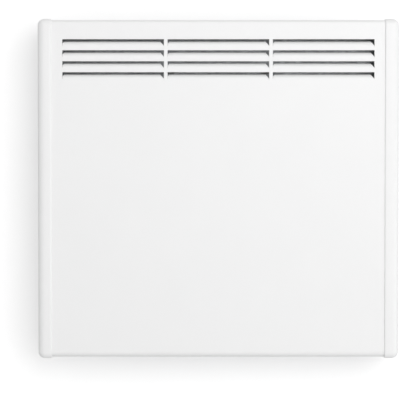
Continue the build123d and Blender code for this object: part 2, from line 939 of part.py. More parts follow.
def terminal_block():
    seat = rear_inner - fixed_gap
    x = (block_x - block_length / 2, block_x + block_length / 2)
    z = (block_level - block_height / 2, block_level + block_height / 2)
    body = block(x, (seat, seat - block_base), z)
    tower_half = (block_length / block_poles - block_gap) / 2
    top = seat - block_base - block_tower
    for pole in pole_places():
        span = (pole - tower_half, pole + tower_half)
        body += block(span, (seat - block_base, top), (z[0] + block_gap, z[1] - block_gap))
        ends = ((pole, top - past, block_level), (pole, top + block_screw_end, block_level))
        body -= bar(*ends, block_screw_radius + fixed_gap)
    return body


def terminal_screws():
    top = rear_inner - fixed_gap - block_base - block_tower
    screws = []
    for pole in pole_places():
        ends = ((pole, top + block_screw_end, block_level), (pole, top + block_screw_sink, block_level))
        span = (pole - block_screw_radius, pole + block_screw_radius)
        depth = (top, top + block_screw_sink + block_screw_slot)
        width = (block_level - block_screw_slot / 2, block_level + block_screw_slot / 2)
        screws.append(bar(*ends, block_screw_radius) - block(span, depth, width))
    return group(screws)


def gland_point(y):
    return (gland_x, y, gland_level)


def gland_hole(start, end):
    return bar(gland_point(start), gland_point(end), gland_thread + fixed_gap, thread_sides)


def cable_gland():
    """The cord's inlet: hexagon and dome outside, thread through the rear panel."""
    hex_end = rear_y + fixed_gap + gland_hex_height
    dome_end = hex_end + gland_dome
    gland = bar(gland_point(rear_y + fixed_gap), gland_point(hex_end), gland_hex, 6)
    dome = bar(gland_point(hex_end), gland_point(dome_end), gland_dome_radius, thread_sides)
    gland += chamfer(dome.edges().group_by(Axis.Y)[-1], gland_dome / 3)
    inner_end = rear_inner - gland_inside
    gland += bar(gland_point(rear_y + fixed_gap), gland_point(inner_end), gland_thread, thread_sides)
    return gland - rod(gland_point(inner_end - past), gland_point(dome_end + past), gland_bore)


def gland_nut():
    seat = rear_inner - fixed_gap
    end = seat - gland_nut_height
    nut = bar(gland_point(seat), gland_point(end), gland_hex, 6)
    return nut - gland_hole(seat + past, end - past)


def earth_point(y):
    return (earth_x, y, earth_level)


def earth_stud():
    head = bar(earth_point(rear_y), earth_point(rear_y + rivet_head), earth_ring_radius)
    return head + bar(earth_point(rear_y), earth_point(rear_inner - earth_length), earth_radius)


def earth_hole(start, end):
    return bar(earth_point(start), earth_point(end), earth_radius + fixed_gap)


def earth_nut():
    start = rear_inner - earth_nut_stand
    end = start - earth_nut_height
    nut = bar(earth_point(start), earth_point(end), earth_nut_size, 6)
    return nut - earth_hole(start + past, end - past)


# wiring

def block_side(way):
    return block_level + way * (block_height / 2 - block_gap)


def live_leads():
    """From the block to the switch, on to the thermostat, the cut-out and the element."""
    poles = pole_places()
    tab_end = floor_x - switch_depth - tab_length
    tower_y = rear_inner - block_base - block_tower / 2
    low, high = tab_levels()
    riser_x = poles[2]
    stat_low = knob_level - stat_height / 2
    stat_x = floor_inner - stat_depth / 2
    cut_low = cutout_level - cutout_height / 2
    cut_high = cutout_level + cutout_height / 2
    cut_y = rear_inner - cutout_depth / 2
    right_pin = pin_end(1)
    to_switch = (
        (riser_x, tower_y, block_side(1)),
        (riser_x, tower_y, low - 2 * lead_loop),
        (tab_end - lead_loop, well_y, low - lead_loop),
        (tab_end - lead_loop, well_y, low),
        (tab_end, well_y, low),
    )
    to_stat = (
        (tab_end, well_y, high),
        (tab_end - lead_loop, well_y, high),
        (tab_end - lead_loop, well_y, high + lead_loop),
        (stat_x, well_y, stat_low - lead_loop),
        (stat_x, well_y, stat_low),
    )
    stat_left = floor_inner - fixed_gap - stat_depth
    to_cutout = (
        (stat_left, well_y, knob_level),
        (cutout_x, well_y, knob_level),
        (cutout_x, well_y, cut_high + 2 * lead_loop),
        (cutout_x, cut_y, cut_high + lead_loop),
        (cutout_x, cut_y, cut_high),
    )
    to_pin = (
        (cutout_x, cut_y, cut_low),
        (cutout_x, cut_y, cut_low - lead_loop),
        (right_pin + lead_loop, element_y, element_level + lead_loop),
        (right_pin + lead_loop, element_y, element_level),
        (right_pin, element_y, element_level),
    )
    return group(lead(points) for points in (to_switch, to_stat, to_cutout, to_pin))


def neutral_lead():
    """From the block down and along the bottom to the element's left pin."""
    pole = pole_places()[0]
    tower_y = rear_inner - block_base - block_tower / 2
    left_pin = pin_end(-1)
    return lead((
        (pole, tower_y, block_side(-1)),
        (pole, tower_y, block_side(-1) - lead_loop),
        (pole - lead_loop, lead_y, lead_low_level),
        (left_pin - lead_loop, lead_y, lead_low_level),
        (left_pin - lead_loop, lead_y, element_level - 2 * lead_loop),
        (left_pin - lead_loop, element_y, element_level - lead_loop),
        (left_pin - lead_loop, element_y, element_level),
        (left_pin, element_y, element_level),
    ))


def earth_lead():
    """From the block's middle pole to a ring under the earth nut."""
    pole = pole_places()[1]
    tower_y = rear_inner - block_base - block_tower / 2
    ring_y = rear_inner - earth_nut_stand / 2
    drop = block_side(-1)
    wire = lead((
        (pole, tower_y, drop),
        (pole, tower_y, drop - lead_loop),
        (earth_x + 3 * earth_ring_radius, ring_y, earth_level),
        (earth_x + 0.9 * earth_ring_radius, ring_y, earth_level),
    ))
    start = ring_y + earth_ring_sheet / 2
    end = start - earth_ring_sheet
    ring = bar(earth_point(start), earth_point(end), earth_ring_radius)
    return wire + ring - earth_hole(start + past, end - past)


def lead_clips():
    clips = []
    hold = lead_radius + lead_clip_wall
    y = (rear_inner - fixed_gap, lead_y - hold)
    z = (lead_low_level - hold, lead_low_level + hold)
    mouth_y = (lead_y - hold - past, lead_y)
    mouth_z = (lead_low_level - lead_clip_mouth / 2, lead_low_level + lead_clip_mouth / 2)
    for x in (-lead_clip_x, 0, lead_clip_x):
        start = x - lead_clip_size - past
        end = x + lead_clip_size + past
        clip = block((x - lead_clip_size, x + lead_clip_size), y, z)
        clip -= block((start, end), mouth_y, mouth_z)
        ends = ((start, lead_y, lead_low_level), (end, lead_y, lead_low_level))
        clips.append(clip - bar(*ends, lead_radius + fixed_gap))
    return group(clips)


# screws

def rear_screws():
    level = panel_top - lid_screw_drop
    return group(pan_screw((x, rear_y, level), (0, -1, 0)) for x in lid_screw_places())


def cap_screws():
    y = rear_y + cap_proud
    seats = [(x, y, z) for x in cap_screw_xs() for z in cap_screw_levels()]
    return group(pan_screw(seat, (0, -1, 0)) for seat in seats)


def inlet_screws():
    ys = (front_y + bottom_return - inlet_lap / 2, rear_y - rear_flange + inlet_lap / 2)
    seats = [(x, y, -panel_top) for x in (-inlet_screw_x, inlet_screw_x) for y in ys]
    return group(pan_screw(seat, (0, 0, 1)) for seat in seats)


parts = {
    "wall_bracket": wall_bracket,
    "latch_clips": latch_clips,
    "bracket_pads": bracket_pads,
    "front_panel": front_panel,
    "rear_panel": rear_panel,
    "inlet_grille": inlet_grille,
    "end_cap_left": end_cap_left,
    "end_cap_right": end_cap_right,
    "heating_tube": heating_tube,
    "heating_fins": heating_fins,
    "element_insulators": element_insulators,
    "element_pins": element_pins,
    "element_bushes": element_bushes,
    "element_bracket_left": lambda: element_bracket(-1),
    "element_bracket_right": lambda: element_bracket(1),
    "element_rivets": element_rivets,
    "air_guide": air_guide,
    "thermostat_body": thermostat_body,
    "thermostat_nut": thermostat_nut,
    "thermostat_shaft": thermostat_shaft,
    "thermostat_knob": thermostat_knob,
    "switch_body": switch_body,
    "switch_rocker": switch_rocker,
    "switch_tabs": switch_tabs,
    "cutout_body": cutout_body,
    "cutout_capillary": cutout_capillary,
    "capillary_clips": capillary_clips,
    "terminal_block": terminal_block,
    "terminal_screws": terminal_screws,
    "cable_gland": cable_gland,
    "gland_nut": gland_nut,
    "earth_stud": earth_stud,
    "earth_nut": earth_nut,
    "live_leads": live_leads,
    "neutral_lead": neutral_lead,
    "earth_lead": earth_lead,
    "lead_clips": lead_clips,
    "rear_screws": rear_screws,
    "cap_screws": cap_screws,
    "inlet_screws": inlet_screws,
}

os.makedirs("parts", exist_ok=True)
for name, make in parts.items():
    export_step(make(), f"parts/{name}.step")
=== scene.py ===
import json
from math import cos, pi, radians, sin

import bmesh
import bpy
from mathutils import Matrix, Vector


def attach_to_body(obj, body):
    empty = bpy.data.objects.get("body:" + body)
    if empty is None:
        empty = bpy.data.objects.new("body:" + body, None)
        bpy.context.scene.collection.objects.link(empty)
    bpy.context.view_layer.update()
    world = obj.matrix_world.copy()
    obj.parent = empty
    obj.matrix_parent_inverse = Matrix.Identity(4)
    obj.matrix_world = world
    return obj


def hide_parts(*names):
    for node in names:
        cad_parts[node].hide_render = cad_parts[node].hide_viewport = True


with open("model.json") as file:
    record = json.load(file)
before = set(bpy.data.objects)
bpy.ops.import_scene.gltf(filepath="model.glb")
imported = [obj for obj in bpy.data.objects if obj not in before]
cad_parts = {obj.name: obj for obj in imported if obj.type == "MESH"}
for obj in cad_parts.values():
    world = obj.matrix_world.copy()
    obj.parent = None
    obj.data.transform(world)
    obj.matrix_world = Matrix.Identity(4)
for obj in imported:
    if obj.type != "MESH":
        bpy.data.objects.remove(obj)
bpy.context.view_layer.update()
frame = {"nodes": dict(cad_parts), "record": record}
nodes = frame["nodes"]
mm = 0.001  # the frame is in metres, the sizes in the dictionaries are in mm
mergeDistance = 0.001  # mm, points closer than this are one
cutAbove = 1.0  # mm that a cutting shape stands above what it cuts
print("frame loaded:", len(nodes), "nodes")


# shared helpers

def linearColour(hexCode):
    # sRGB hex to the linear values that shaders use
    parts = [int(hexCode[i:i + 2], 16) / 255 for i in (1, 3, 5)]
    return [c / 12.92 if c <= 0.04045 else ((c + 0.055) / 1.055) ** 2.4 for c in parts] + [1.0]


def addNode(tree, kind, settings=None, links=None):
    # settings go to the node or to its sockets, links are (input, source socket)
    node = tree.nodes.new(kind)
    for key, value in (settings or {}).items():
        if isinstance(key, int) or key in node.inputs:
            node.inputs[key].default_value = value
        else:
            setattr(node, key, value)
    for key, source in (links or {}).items():
        tree.links.new(source, node.inputs[key])
    return node


def addObject(name, data):
    thing = bpy.data.objects.new(name, data)
    bpy.context.scene.collection.objects.link(thing)
    return thing


def addModifier(piece, name, kind, **settings):
    modifier = piece.modifiers.new(name, kind)
    for key, value in settings.items():
        setattr(modifier, key, value)
    return modifier


def emptyMaterial(name):
    material = bpy.data.materials.new(name)
    material.use_nodes = True
    material.node_tree.nodes.clear()
    return material


textures = {
    "grainDetail": 3.0,
    "grainRoughness": 0.55,
    "driftDetail": 2.0,
    "crystalTone": 0.6,  # how much each zinc crystal's tone adds to the drift
}


def finishMaterial(name, look):
    # a surface with slow colour drift, fine grain in its roughness, and a grain bump
    material = emptyMaterial(name)
    tree = material.node_tree
    place = addNode(tree, "ShaderNodeTexCoord").outputs["Object"]
    if "stretch" in look:
        place = addNode(tree, "ShaderNodeMapping", {"Scale": look["stretch"]},
                        {"Vector": place}).outputs[0]
    if "spangle" in look:  # crystals of hot-dip zinc, each with its own tone
        crystals = addNode(tree, "ShaderNodeTexVoronoi", {"Scale": 1 / (look["spangle"] * mm)},
                           {"Vector": place}).outputs["Color"]
        tone = addNode(tree, "ShaderNodeSeparateColor", links={0: crystals}).outputs[0]
    grain = addNode(tree, "ShaderNodeTexNoise",
                    {"Scale": 1 / (look["grain"] * mm), "Detail": textures["grainDetail"],
                     "Roughness": textures["grainRoughness"]}, {"Vector": place}).outputs[0]
    drift = addNode(tree, "ShaderNodeTexNoise",
                    {"Scale": 1 / (look["drift"] * mm), "Detail": textures["driftDetail"]},
                    {"Vector": place}).outputs[0]
    if "spangle" in look:
        drift = addNode(tree, "ShaderNodeMath", {"operation": "MULTIPLY_ADD", 1: textures["crystalTone"]},
                        {0: tone, 2: drift}).outputs[0]
    if "stripe" in look:  # a wave's period is 2 pi / 20 at scale 1
        drift = addNode(tree, "ShaderNodeTexWave", {"Scale": pi / (10 * look["stripe"] * mm)},
                        {"Vector": place}).outputs["Fac"]
    colours = addNode(tree, "ShaderNodeMix", {"data_type": "RGBA"}, {0: drift})
    for socket, hexCode in zip((6, 7), look["colours"]):  # the two colours of a Mix node
        colours.inputs[socket].default_value = linearColour(hexCode)
    low, high = look["roughness"]
    rough = addNode(tree, "ShaderNodeMapRange", {"To Min": low, "To Max": high},
                    {"Value": tone if "spangle" in look else grain})
    strength, depth = look["bump"]
    bump = addNode(tree, "ShaderNodeBump", {"Strength": strength, "Distance": depth * mm},
                   {"Height": grain})
    surface = addNode(tree, "ShaderNodeBsdfPrincipled", {"Metallic": look.get("metallic", 0.0)},
                      {"Base Color": colours.outputs[2], "Roughness": rough.outputs[0],
                       "Normal": bump.outputs[0]})
    if "ior" in look:
        surface.inputs["IOR"].default_value = look["ior"]
    addNode(tree, "ShaderNodeOutputMaterial", links={"Surface": surface.outputs[0]})
    return material


# finishes: sizes in mm, each tied to a slot of the record; a grain of up to 1 mm is finer on the real
# thing and is drawn that coarse so that it shows

finishes = {
    # satin white with the shallow orange peel of powder paint
    "powderCoatWhite": dict(
        slot="powder_coat_white", colours=("#F4F4F4", "#F2F2F2"), roughness=(0.38, 0.48), grain=1.8,
        drift=60, bump=(0.6, 0.06), ior=1.5),
    # as white as the coat, with the fine spark-eroded grain of a mould
    "mouldedAbsWhite": dict(
        slot="moulded_white", colours=("#F3F3F3", "#F1F1F1"), roughness=(0.36, 0.5), grain=0.9,
        drift=45, bump=(0.25, 0.03), ior=1.53),
    # a cooler, slightly darker white than the cap around it
    "satinAbsWhite": dict(
        slot="knob_white", colours=("#E2E3E4", "#DCDDDE"), roughness=(0.34, 0.46), grain=0.6, drift=8,
        bump=(0.1, 0.02), ior=1.53),
    # polished black that shows a soft image of the light
    "polishedPolyamide": dict(
        slot="rocker_black", colours=("#1C1C1D", "#171718"), roughness=(0.16, 0.26), grain=1.0, drift=6,
        bump=(0.03, 0.01), ior=1.53),
    # duller black than the rocker's, because of the glass in it
    "filledPolyamide": dict(
        slot="switch_black", colours=("#252526", "#1E1E1F"), roughness=(0.4, 0.52), grain=0.6, drift=6,
        bump=(0.15, 0.02), ior=1.53),
    # flat dark grey, wiped into the grooves
    "enamelGrey": dict(
        slot="switch_black", colours=("#55585B", "#4C4F52"), roughness=(0.45, 0.55), grain=0.5, drift=5,
        bump=(0.05, 0.01), ior=1.5),
    # cool grey metal in soft crystals half a centimetre across
    "galvanisedSheet": dict(
        slot="galvanised_steel", colours=("#AEB0B2", "#9C9EA0"), roughness=(0.32, 0.46), grain=3.0,
        drift=14, bump=(0.08, 0.02), metallic=1.0, spangle=6),
    # dark, slightly warm metal of hardened strip
    "springSteel": dict(
        slot="spring_steel", colours=("#8C8880", "#6F6C66"), roughness=(0.25, 0.4), grain=2.0, drift=8,
        bump=(0.05, 0.02), metallic=1.0),
    # bright bluish metal
    "zincPlatedSteel": dict(
        slot="zinc_screws", colours=("#B8BBBD", "#A7ABAE"), roughness=(0.24, 0.36), grain=0.8, drift=6,
        bump=(0.04, 0.02), metallic=1.0),
    # metal browned in patches by heat
    "heatTintedSteel": dict(
        slot="sheath_steel", colours=("#8F8A80", "#6E675E"), roughness=(0.3, 0.45), grain=1.5, drift=14,
        bump=(0.04, 0.02), metallic=1.0),
    # plain light metal with faint cloudiness
    "millAluminium": dict(
        slot="fin_aluminium", colours=("#C9CBCD", "#B7BABC"), roughness=(0.22, 0.38), grain=1.2,
        drift=12, bump=(0.05, 0.02), metallic=1.0),
    # bright metal with rolling lines along the sheet
    "rolledAluminium": dict(
        slot="reflector_aluminium", colours=("#CDCFD0", "#B9BCBE"), roughness=(0.2, 0.38), grain=0.8,
        drift=9, bump=(0.06, 0.02), metallic=1.0, stretch=(0.04, 1, 1)),
    # yellow metal, lightly dulled since it was turned
    "turnedBrass": dict(
        slot="brass", colours=("#C8A45A", "#B8934B"), roughness=(0.24, 0.36), grain=0.8, drift=6,
        bump=(0.04, 0.02), metallic=1.0),
    # drawn copper, a little tarnished
    "drawnCopper": dict(
        slot="copper", colours=("#C08060", "#AD6F50"), roughness=(0.25, 0.38), grain=0.8, drift=8,
        bump=(0.04, 0.02), metallic=1.0),
    # cream ceramic, matt as it leaves the kiln
    "firedSteatite": dict(
        slot="steatite", colours=("#E6E2D8", "#DAD5C9"), roughness=(0.35, 0.5), grain=0.6, drift=5,
        bump=(0.1, 0.02), ior=1.58),
    # soft matt grey that hardly shines
    "mouldedSilicone": dict(
        slot="silicone_grey", colours=("#8E8F90", "#838485"), roughness=(0.5, 0.65), grain=0.8, drift=6,
        bump=(0.1, 0.03), ior=1.41),
    # dusty black without a highlight
    "extrudedRubber": dict(
        slot="rubber_black", colours=("#232323", "#1B1B1B"), roughness=(0.7, 0.85), grain=0.8, drift=10,
        bump=(0.3, 0.04), ior=1.52),
    # mottled dark brown of pressed resin
    "pressedPhenolic": dict(
        slot="phenolic_brown", colours=("#4A3426", "#38271D"), roughness=(0.35, 0.5), grain=0.6,
        drift=8, bump=(0.1, 0.02), ior=1.6),
    # waxy off-white
    "mouldedPolyamideWhite": dict(
        slot="nylon_white", colours=("#E3E0D4", "#D9D5C7"), roughness=(0.35, 0.5), grain=0.8, drift=8,
        bump=(0.06, 0.02), ior=1.53),
    # satin black with a waxy highlight
    "mouldedPolyamideBlack": dict(
        slot="nylon_black", colours=("#2A2A2B", "#222223"), roughness=(0.4, 0.52), grain=0.8, drift=8,
        bump=(0.08, 0.02), ior=1.53),
    # smooth brown insulation with a dull sheen
    "extrudedPvcBrown": dict(
        slot="lead_brown", colours=("#5A3A26", "#4D3120"), roughness=(0.4, 0.55), grain=0.6, drift=8,
        bump=(0.1, 0.02), ior=1.53),
    # the same in blue
    "extrudedPvcBlue": dict(
        slot="lead_blue", colours=("#3D6FA8", "#35639A"), roughness=(0.4, 0.55), grain=0.6, drift=8,
        bump=(0.1, 0.02), ior=1.53),
    # green with yellow stripes
    "extrudedPvcStriped": dict(
        slot="lead_green_yellow", colours=("#3F8A3A", "#E2CF3C"), roughness=(0.4, 0.55), grain=0.6,
        drift=8, bump=(0.1, 0.02), ior=1.53, stripe=2.2),
}
materials = {name: finishMaterial(name, look) for name, look in finishes.items()}
print("materials made:", len(materials))

finishOfSlot = {}
for name, look in finishes.items():
    finishOfSlot.setdefault(look["slot"], name)
for part in frame["record"]["subparts"]:
    mesh = nodes[part["node"]].data
    mesh.materials.clear()
    mesh.materials.append(materials[finishOfSlot[part["material_slot"]]])
print("finishes given to the frame's pieces")


# shapes shared by several pieces, all drawn in mm

def solidBoxes(nodeName):
    # lowest and highest corner of each separate solid of a CAD node, from left to right
    shape = bmesh.new()
    shape.from_mesh(nodes[nodeName].data)
    bmesh.ops.remove_doubles(shape, verts=shape.verts, dist=mergeDistance * mm)
    boxes, seen = [], set()
    for start in shape.verts:
        if start in seen:
            continue
        seen.add(start)
        solid, queue = [], [start]
        while queue:
            vert = queue.pop()
            solid.append(vert.co / mm)
            for edge in vert.link_edges:
                other = edge.other_vert(vert)
                if other not in seen:
                    seen.add(other)
                    queue.append(other)
        boxes.append([Vector(pick(co[i] for co in solid) for i in range(3)) for pick in (min, max)])
    shape.free()
    return sorted(boxes, key=lambda box: (round(box[0].x, 2), box[0].y, box[0].z))


def alongAxis(start, direction):
    # places a shape that was drawn along +Z
    turn = Vector(direction).to_track_quat("Z", "Y").to_matrix().to_4x4()
    return Matrix.Translation(Vector(start)) @ turn


def addFace(shape, verts):
    # verts that fall together are taken once
    corners = [v for i, v in enumerate(verts) if v is not verts[i - 1]]
    if len(set(corners)) > 2:
        shape.faces.new(corners)


def joinRings(shape, rings):
    # faces between each closed ring of points and the next
    for ring, after in zip(rings, rings[1:]):
        for n in range(len(ring)):
            addFace(shape, [ring[n - 1], ring[n], after[n], after[n - 1]])


def addTurned(shape, profile, place=Matrix(), sides=32):
    # a profile of (radius, height) pairs turned about Z; either may be a function of the angle
    rings = []
    for radius, height in profile:
        if radius == 0:
            rings.append([shape.verts.new(place @ Vector((0, 0, height)))] * sides)
            continue
        ring = []
        for n in range(sides):
            angle = 2 * pi * n / sides
            reach = radius(angle) if callable(radius) else radius
            z = height(angle) if callable(height) else height
            ring.append(shape.verts.new(place @ Vector((reach * cos(angle), reach * sin(angle), z))))
        rings.append(ring)
    joinRings(shape, rings)
    return shape


def fluted(radius, count, depth):
    return lambda angle: radius - depth * (0.5 + 0.5 * cos(count * angle)) ** 2


nutForm = {
    "flat": 0.96,  # radius of the flat faces, as a share of the apothem
    "chamfer": 0.55,  # slope of the round chamfers at the corners
    "lead": 0.3,  # bevel at each end of the bore
    "sideSteps": 8,
}
threadForm = {
    "crest": 0.1,  # where the crest ends and the root starts and ends, as shares of the pitch
    "root": (0.45, 0.6),
    "tip": (0.25, 0.2),  # bevel of the end in radius and length
}


def addNut(shape, place, apothem, bore, height):
    # a hexagon with the usual round chamfers and a bore
    def hexagon(angle):
        return apothem / cos(angle % (pi / 3) - pi / 6)

    def chamfer(angle):
        return (hexagon(angle) - flat) * nutForm["chamfer"]

    flat, lead = apothem * nutForm["flat"], nutForm["lead"]
    profile = [(bore, lead), (bore, height - lead), (bore + lead, height), (flat, height),
               (hexagon, lambda angle: height - chamfer(angle)), (hexagon, chamfer), (flat, 0),
               (bore + lead, 0), (bore, lead)]
    return addTurned(shape, profile, place, 6 * nutForm["sideSteps"])


def threadProfile(outer, root, length, pitch):
    # rings that read as a thread, from height 0 down to -length
    rootStart, rootEnd = threadForm["root"]
    bevel, bevelLength = threadForm["tip"]
    profile = []
    for n in range(int(length / pitch)):
        profile += [(outer, -pitch * (n + threadForm["crest"])), (root, -pitch * (n + rootStart)),
                    (root, -pitch * (n + rootEnd))]
    return profile + [(outer, bevelLength - length), (outer - bevel, -length), (0, -length)]


def attach(piece, node, body):
    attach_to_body(piece, body)
    if node:
        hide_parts(node)


def addTube(name, routes, radius, finish, node, bend=5.0, bendSteps=6, sides=4):
    # round tubes along routes of (x, y, z) points with rounded turns
    curve = bpy.data.curves.new(name, "CURVE")
    curve.dimensions = "3D"
    curve.bevel_depth = radius * mm
    curve.bevel_resolution = sides
    curve.use_fill_caps = True
    for route in routes:
        corners = [Vector(point) for point in route]
        points = [corners[0]]
        for before, turn, after in zip(corners, corners[1:], corners[2:]):
            reach = min(bend, (before - turn).length / 2, (after - turn).length / 2)
            first = turn + (before - turn).normalized() * reach
            last = turn + (after - turn).normalized() * reach
            for n in range(bendSteps + 1):
                share = n / bendSteps
                points.append(first.lerp(turn, share).lerp(turn.lerp(last, share), share))
        points.append(corners[-1])
        spline = curve.splines.new("POLY")
        spline.points.add(len(points) - 1)
        for place, point in zip(spline.points, points):
            place.co = (*(point * mm), 1.0)
    curve.materials.append(materials[finish])
    tube = addObject(name, curve)
    addModifier(tube, "closedEnds", "WELD", merge_threshold=10 * mergeDistance * mm)
    attach(tube, node, "heater")


def addPrism(shape, outline, low, high, place=Matrix(), taper=1.0):
    # a flat outline run along Z; taper narrows its low end
    ends = []
    for z, size in ((low, taper), (high, 1.0)):
        ends.append([shape.verts.new(place @ Vector((x * size, y * size, z))) for x, y in outline])
    joinRings(shape, ends)
    shape.faces.new(ends[0][::-1])
    shape.faces.new(ends[1])


def boxOutline(left, low, right, high):
    return [(left, low), (right, low), (right, high), (left, high)]


def crossOutline(arm, width):
    corner = [(arm, -width), (arm, width), (width, width)]
    outline = []
    for n in range(4):
        for x, y in corner:
            outline.append(((x, y), (-y, x), (-x, -y), (y, -x))[n])
    return outline


def meshOf(shape, name):
    # closes a shape drawn in mm and turns it into a mesh in m
    bmesh.ops.remove_doubles(shape, verts=shape.verts, dist=mergeDistance)
    bmesh.ops.scale(shape, verts=shape.verts, vec=(mm, mm, mm))
    mesh = bpy.data.meshes.new(name)
    shape.to_mesh(mesh)
    shape.free()
    return mesh


def addPiece(name, shape, finish, node=None, body="heater", outward=True, sheet=0.0, edge=0.0,
             edgeSteps=2, sharp=35, cutter=None):
    # node is the CAD node it stands for, sheet a thickness added inwards, edge a rounding, cutter
    # a shape that is taken away
    if outward:
        bmesh.ops.recalc_face_normals(shape, faces=shape.faces)
    mesh = meshOf(shape, name)
    piece = addObject(name, mesh)
    if cutter:
        bmesh.ops.recalc_face_normals(cutter, faces=cutter.faces)
        tool = addObject("cutter", meshOf(cutter, "cutter"))
        cut = addModifier(piece, "cut", "BOOLEAN", object=tool, solver="EXACT")
        done = piece.evaluated_get(bpy.context.evaluated_depsgraph_get())
        cutMesh = bpy.data.meshes.new_from_object(done)
        assert len(cutMesh.polygons) > len(mesh.polygons) / 2, name + " was lost in its cut"
        piece.modifiers.remove(cut)
        piece.data = cutMesh
        bpy.data.objects.remove(tool)
        mesh = cutMesh
    mesh.shade_smooth()
    if not edge:
        mesh.set_sharp_from_angle(angle=radians(sharp))
    mesh.materials.clear()
    mesh.materials.append(materials[finish])
    if sheet:
        addModifier(piece, "sheet", "SOLIDIFY", thickness=sheet * mm, offset=-1, use_even_offset=True)
    if edge:
        addEdges(piece, edge, edgeSteps, sharp)
    attach(piece, node, body)
    return piece


def addEdges(piece, width, steps=2, sharp=35):
    addModifier(piece, "edges", "BEVEL", width=width * mm, segments=steps, limit_method="ANGLE",
                angle_limit=radians(sharp), harden_normals=True, use_clamp_overlap=False)


def arcPoints(centre, radii, start, end, steps):
    # points of an arc or an ellipse's quarter, angles in degrees
    points = []
    for n in range(steps + 1):
        angle = radians(start + (end - start) * n / steps)
        points.append((centre[0] + radii[0] * cos(angle), centre[1] + radii[1] * sin(angle)))
    return points


def circlePoints(centre, radius, steps):
    return arcPoints(centre, (radius, radius), 0, 360, steps)[:-1]


def fillBetween(shape, loops):
    # a flat face inside the first loop, with the other loops as its holes
    edges = []
    for loop in loops:
        for n in range(len(loop)):
            found = shape.edges.get((loop[n - 1], loop[n]))
            edges.append(found or shape.edges.new((loop[n - 1], loop[n])))
    bmesh.ops.triangle_fill(shape, use_beauty=True, edges=edges)


# front panel: one folded sheet with three columns of lanced louvres

frontPanel = {
    "end": 203.4,
    "front": -83,
    "lipFace": -28.85,
    "top": 198.5,
    "topLip": 10,
    "bottomReturn": 17,
    "sheet": 0.9,
    "fold": 4,
    "lowFold": 6.5,
    "foldSteps": 9,
    "edge": 0.15,
}
louvres = {
    "columns": ((-183.35, -64.05), (-59.65, 59.65), (64.05, 183.35)),
    "hinges": (167.9, 155, 142.1, 129.2),
    "rise": 5.6,
    "slit": 2.5,
    "depth": 4,
    "shear": 0.2,
    "steps": 10,
    "leftClip": (3, 2.2),  # width and height of the corner cut off each flap
    "rightClip": (5, 5.2),
}


def panelPath():
    # (y, z) points of the outer face, with the louvres' levels among them
    p, fold, steps = frontPanel, frontPanel["fold"], frontPanel["foldSteps"]
    lowFold = p["lowFold"]
    path = [(p["lipFace"], p["top"] - p["topLip"])]
    path += arcPoints((p["lipFace"] - fold, p["top"] - fold), (fold, fold), 0, 90, steps)
    path += arcPoints((p["front"] + fold, p["top"] - fold), (fold, fold), 90, 180, steps)
    for hinge in louvres["hinges"]:
        path += [(p["front"], hinge + louvres["rise"] + louvres["slit"]), (p["front"], hinge)]
    path += arcPoints((p["front"] + lowFold, lowFold - p["top"]), (lowFold, lowFold), 180, 270, steps)
    return path + [(p["front"] + p["bottomReturn"], -p["top"])]


def addFlap(shape, left, right):
    # one scoop, which leaves the sheet at its lower edge and curves inwards
    rise, depth = louvres["rise"], louvres["depth"]
    radius = (rise ** 2 + depth ** 2) / (2 * depth)
    start, sheet = left.co.copy(), frontPanel["sheet"]
    cuts = []
    for width, height in (louvres["leftClip"], louvres["rightClip"]):
        cuts.append((rise - height, width / (height + sheet)))
    heights = [rise * n / louvres["steps"] for n in range(1, louvres["steps"] + 1)]
    below = (left, right)
    for height in sorted(heights + [level for level, slope in cuts]):
        y = start.y + radius - (radius ** 2 - height ** 2) ** 0.5
        ends = []
        for way, corner, (level, slope) in ((1, left, cuts[0]), (-1, right, cuts[1])):
            inset = max(louvres["shear"], (height - level) * slope)
            ends.append(shape.verts.new((corner.co.x + way * inset, y, start.z + height)))
        shape.faces.new([below[0], below[1], ends[1], ends[0]])
        below = ends


shape = bmesh.new()
columnEnds = [x for column in louvres["columns"] for x in column]
lines = [-frontPanel["end"]] + columnEnds + [frontPanel["end"]]
grid = [[shape.verts.new((x, y, z)) for x in lines] for y, z in panelPath()]
for above, below in zip(grid, grid[1:]):
    hinge = next((z for z in louvres["hinges"] if abs(z - below[0].co.z) < mergeDistance), None)
    for n in range(len(lines) - 1):
        if hinge is not None and n % 2 == 1:
            addFlap(shape, below[n], below[n + 1])
        else:
            shape.faces.new([above[n], below[n], below[n + 1], above[n + 1]])
addPiece("frontPanel", shape, "powderCoatWhite", "front_panel", outward=False,
         sheet=frontPanel["sheet"], edge=frontPanel["edge"])
print("front panel built")


# end caps: moulded shells, the right one with the well for the controls

cap = {
    "seams": {"endCapRight": 195.9, "endCapLeft": 196.5},  # distance of each from the middle
    "lip": (1.5, 1.4),  # width and depth of the rounding that meets the panel
    "lipSteps": 5,
    "side": 212.5,
    "top": 200,
    "front": -84.5,
    "back": -26.5,
    "round": (7.8, 5.5, 7.5),  # extent of the front rounding in X, Y and Z
    "roundSteps": 9,
    "backRound": 1.5,
    "backSteps": 3,
    "wall": 1.3,
    "edge": 0.3,
    "sharp": 50,  # degrees from which an edge is softened
}
well = {
    "y": -56,
    "z": 60,
    "halfLength": 52,
    "halfWidth": 22,
    "depth": 9,
    "steps": 20,  # of each rounded end
    "rim": 0.8,
    "floorRound": 1.2,
    "roundSteps": 4,
    "neck": (86, 4.9),  # level and radius of the hole for the thermostat's neck
    "neckSteps": 32,
    "window": (6.95, 19.05, 40.95),  # half width and levels of the switch's opening
}


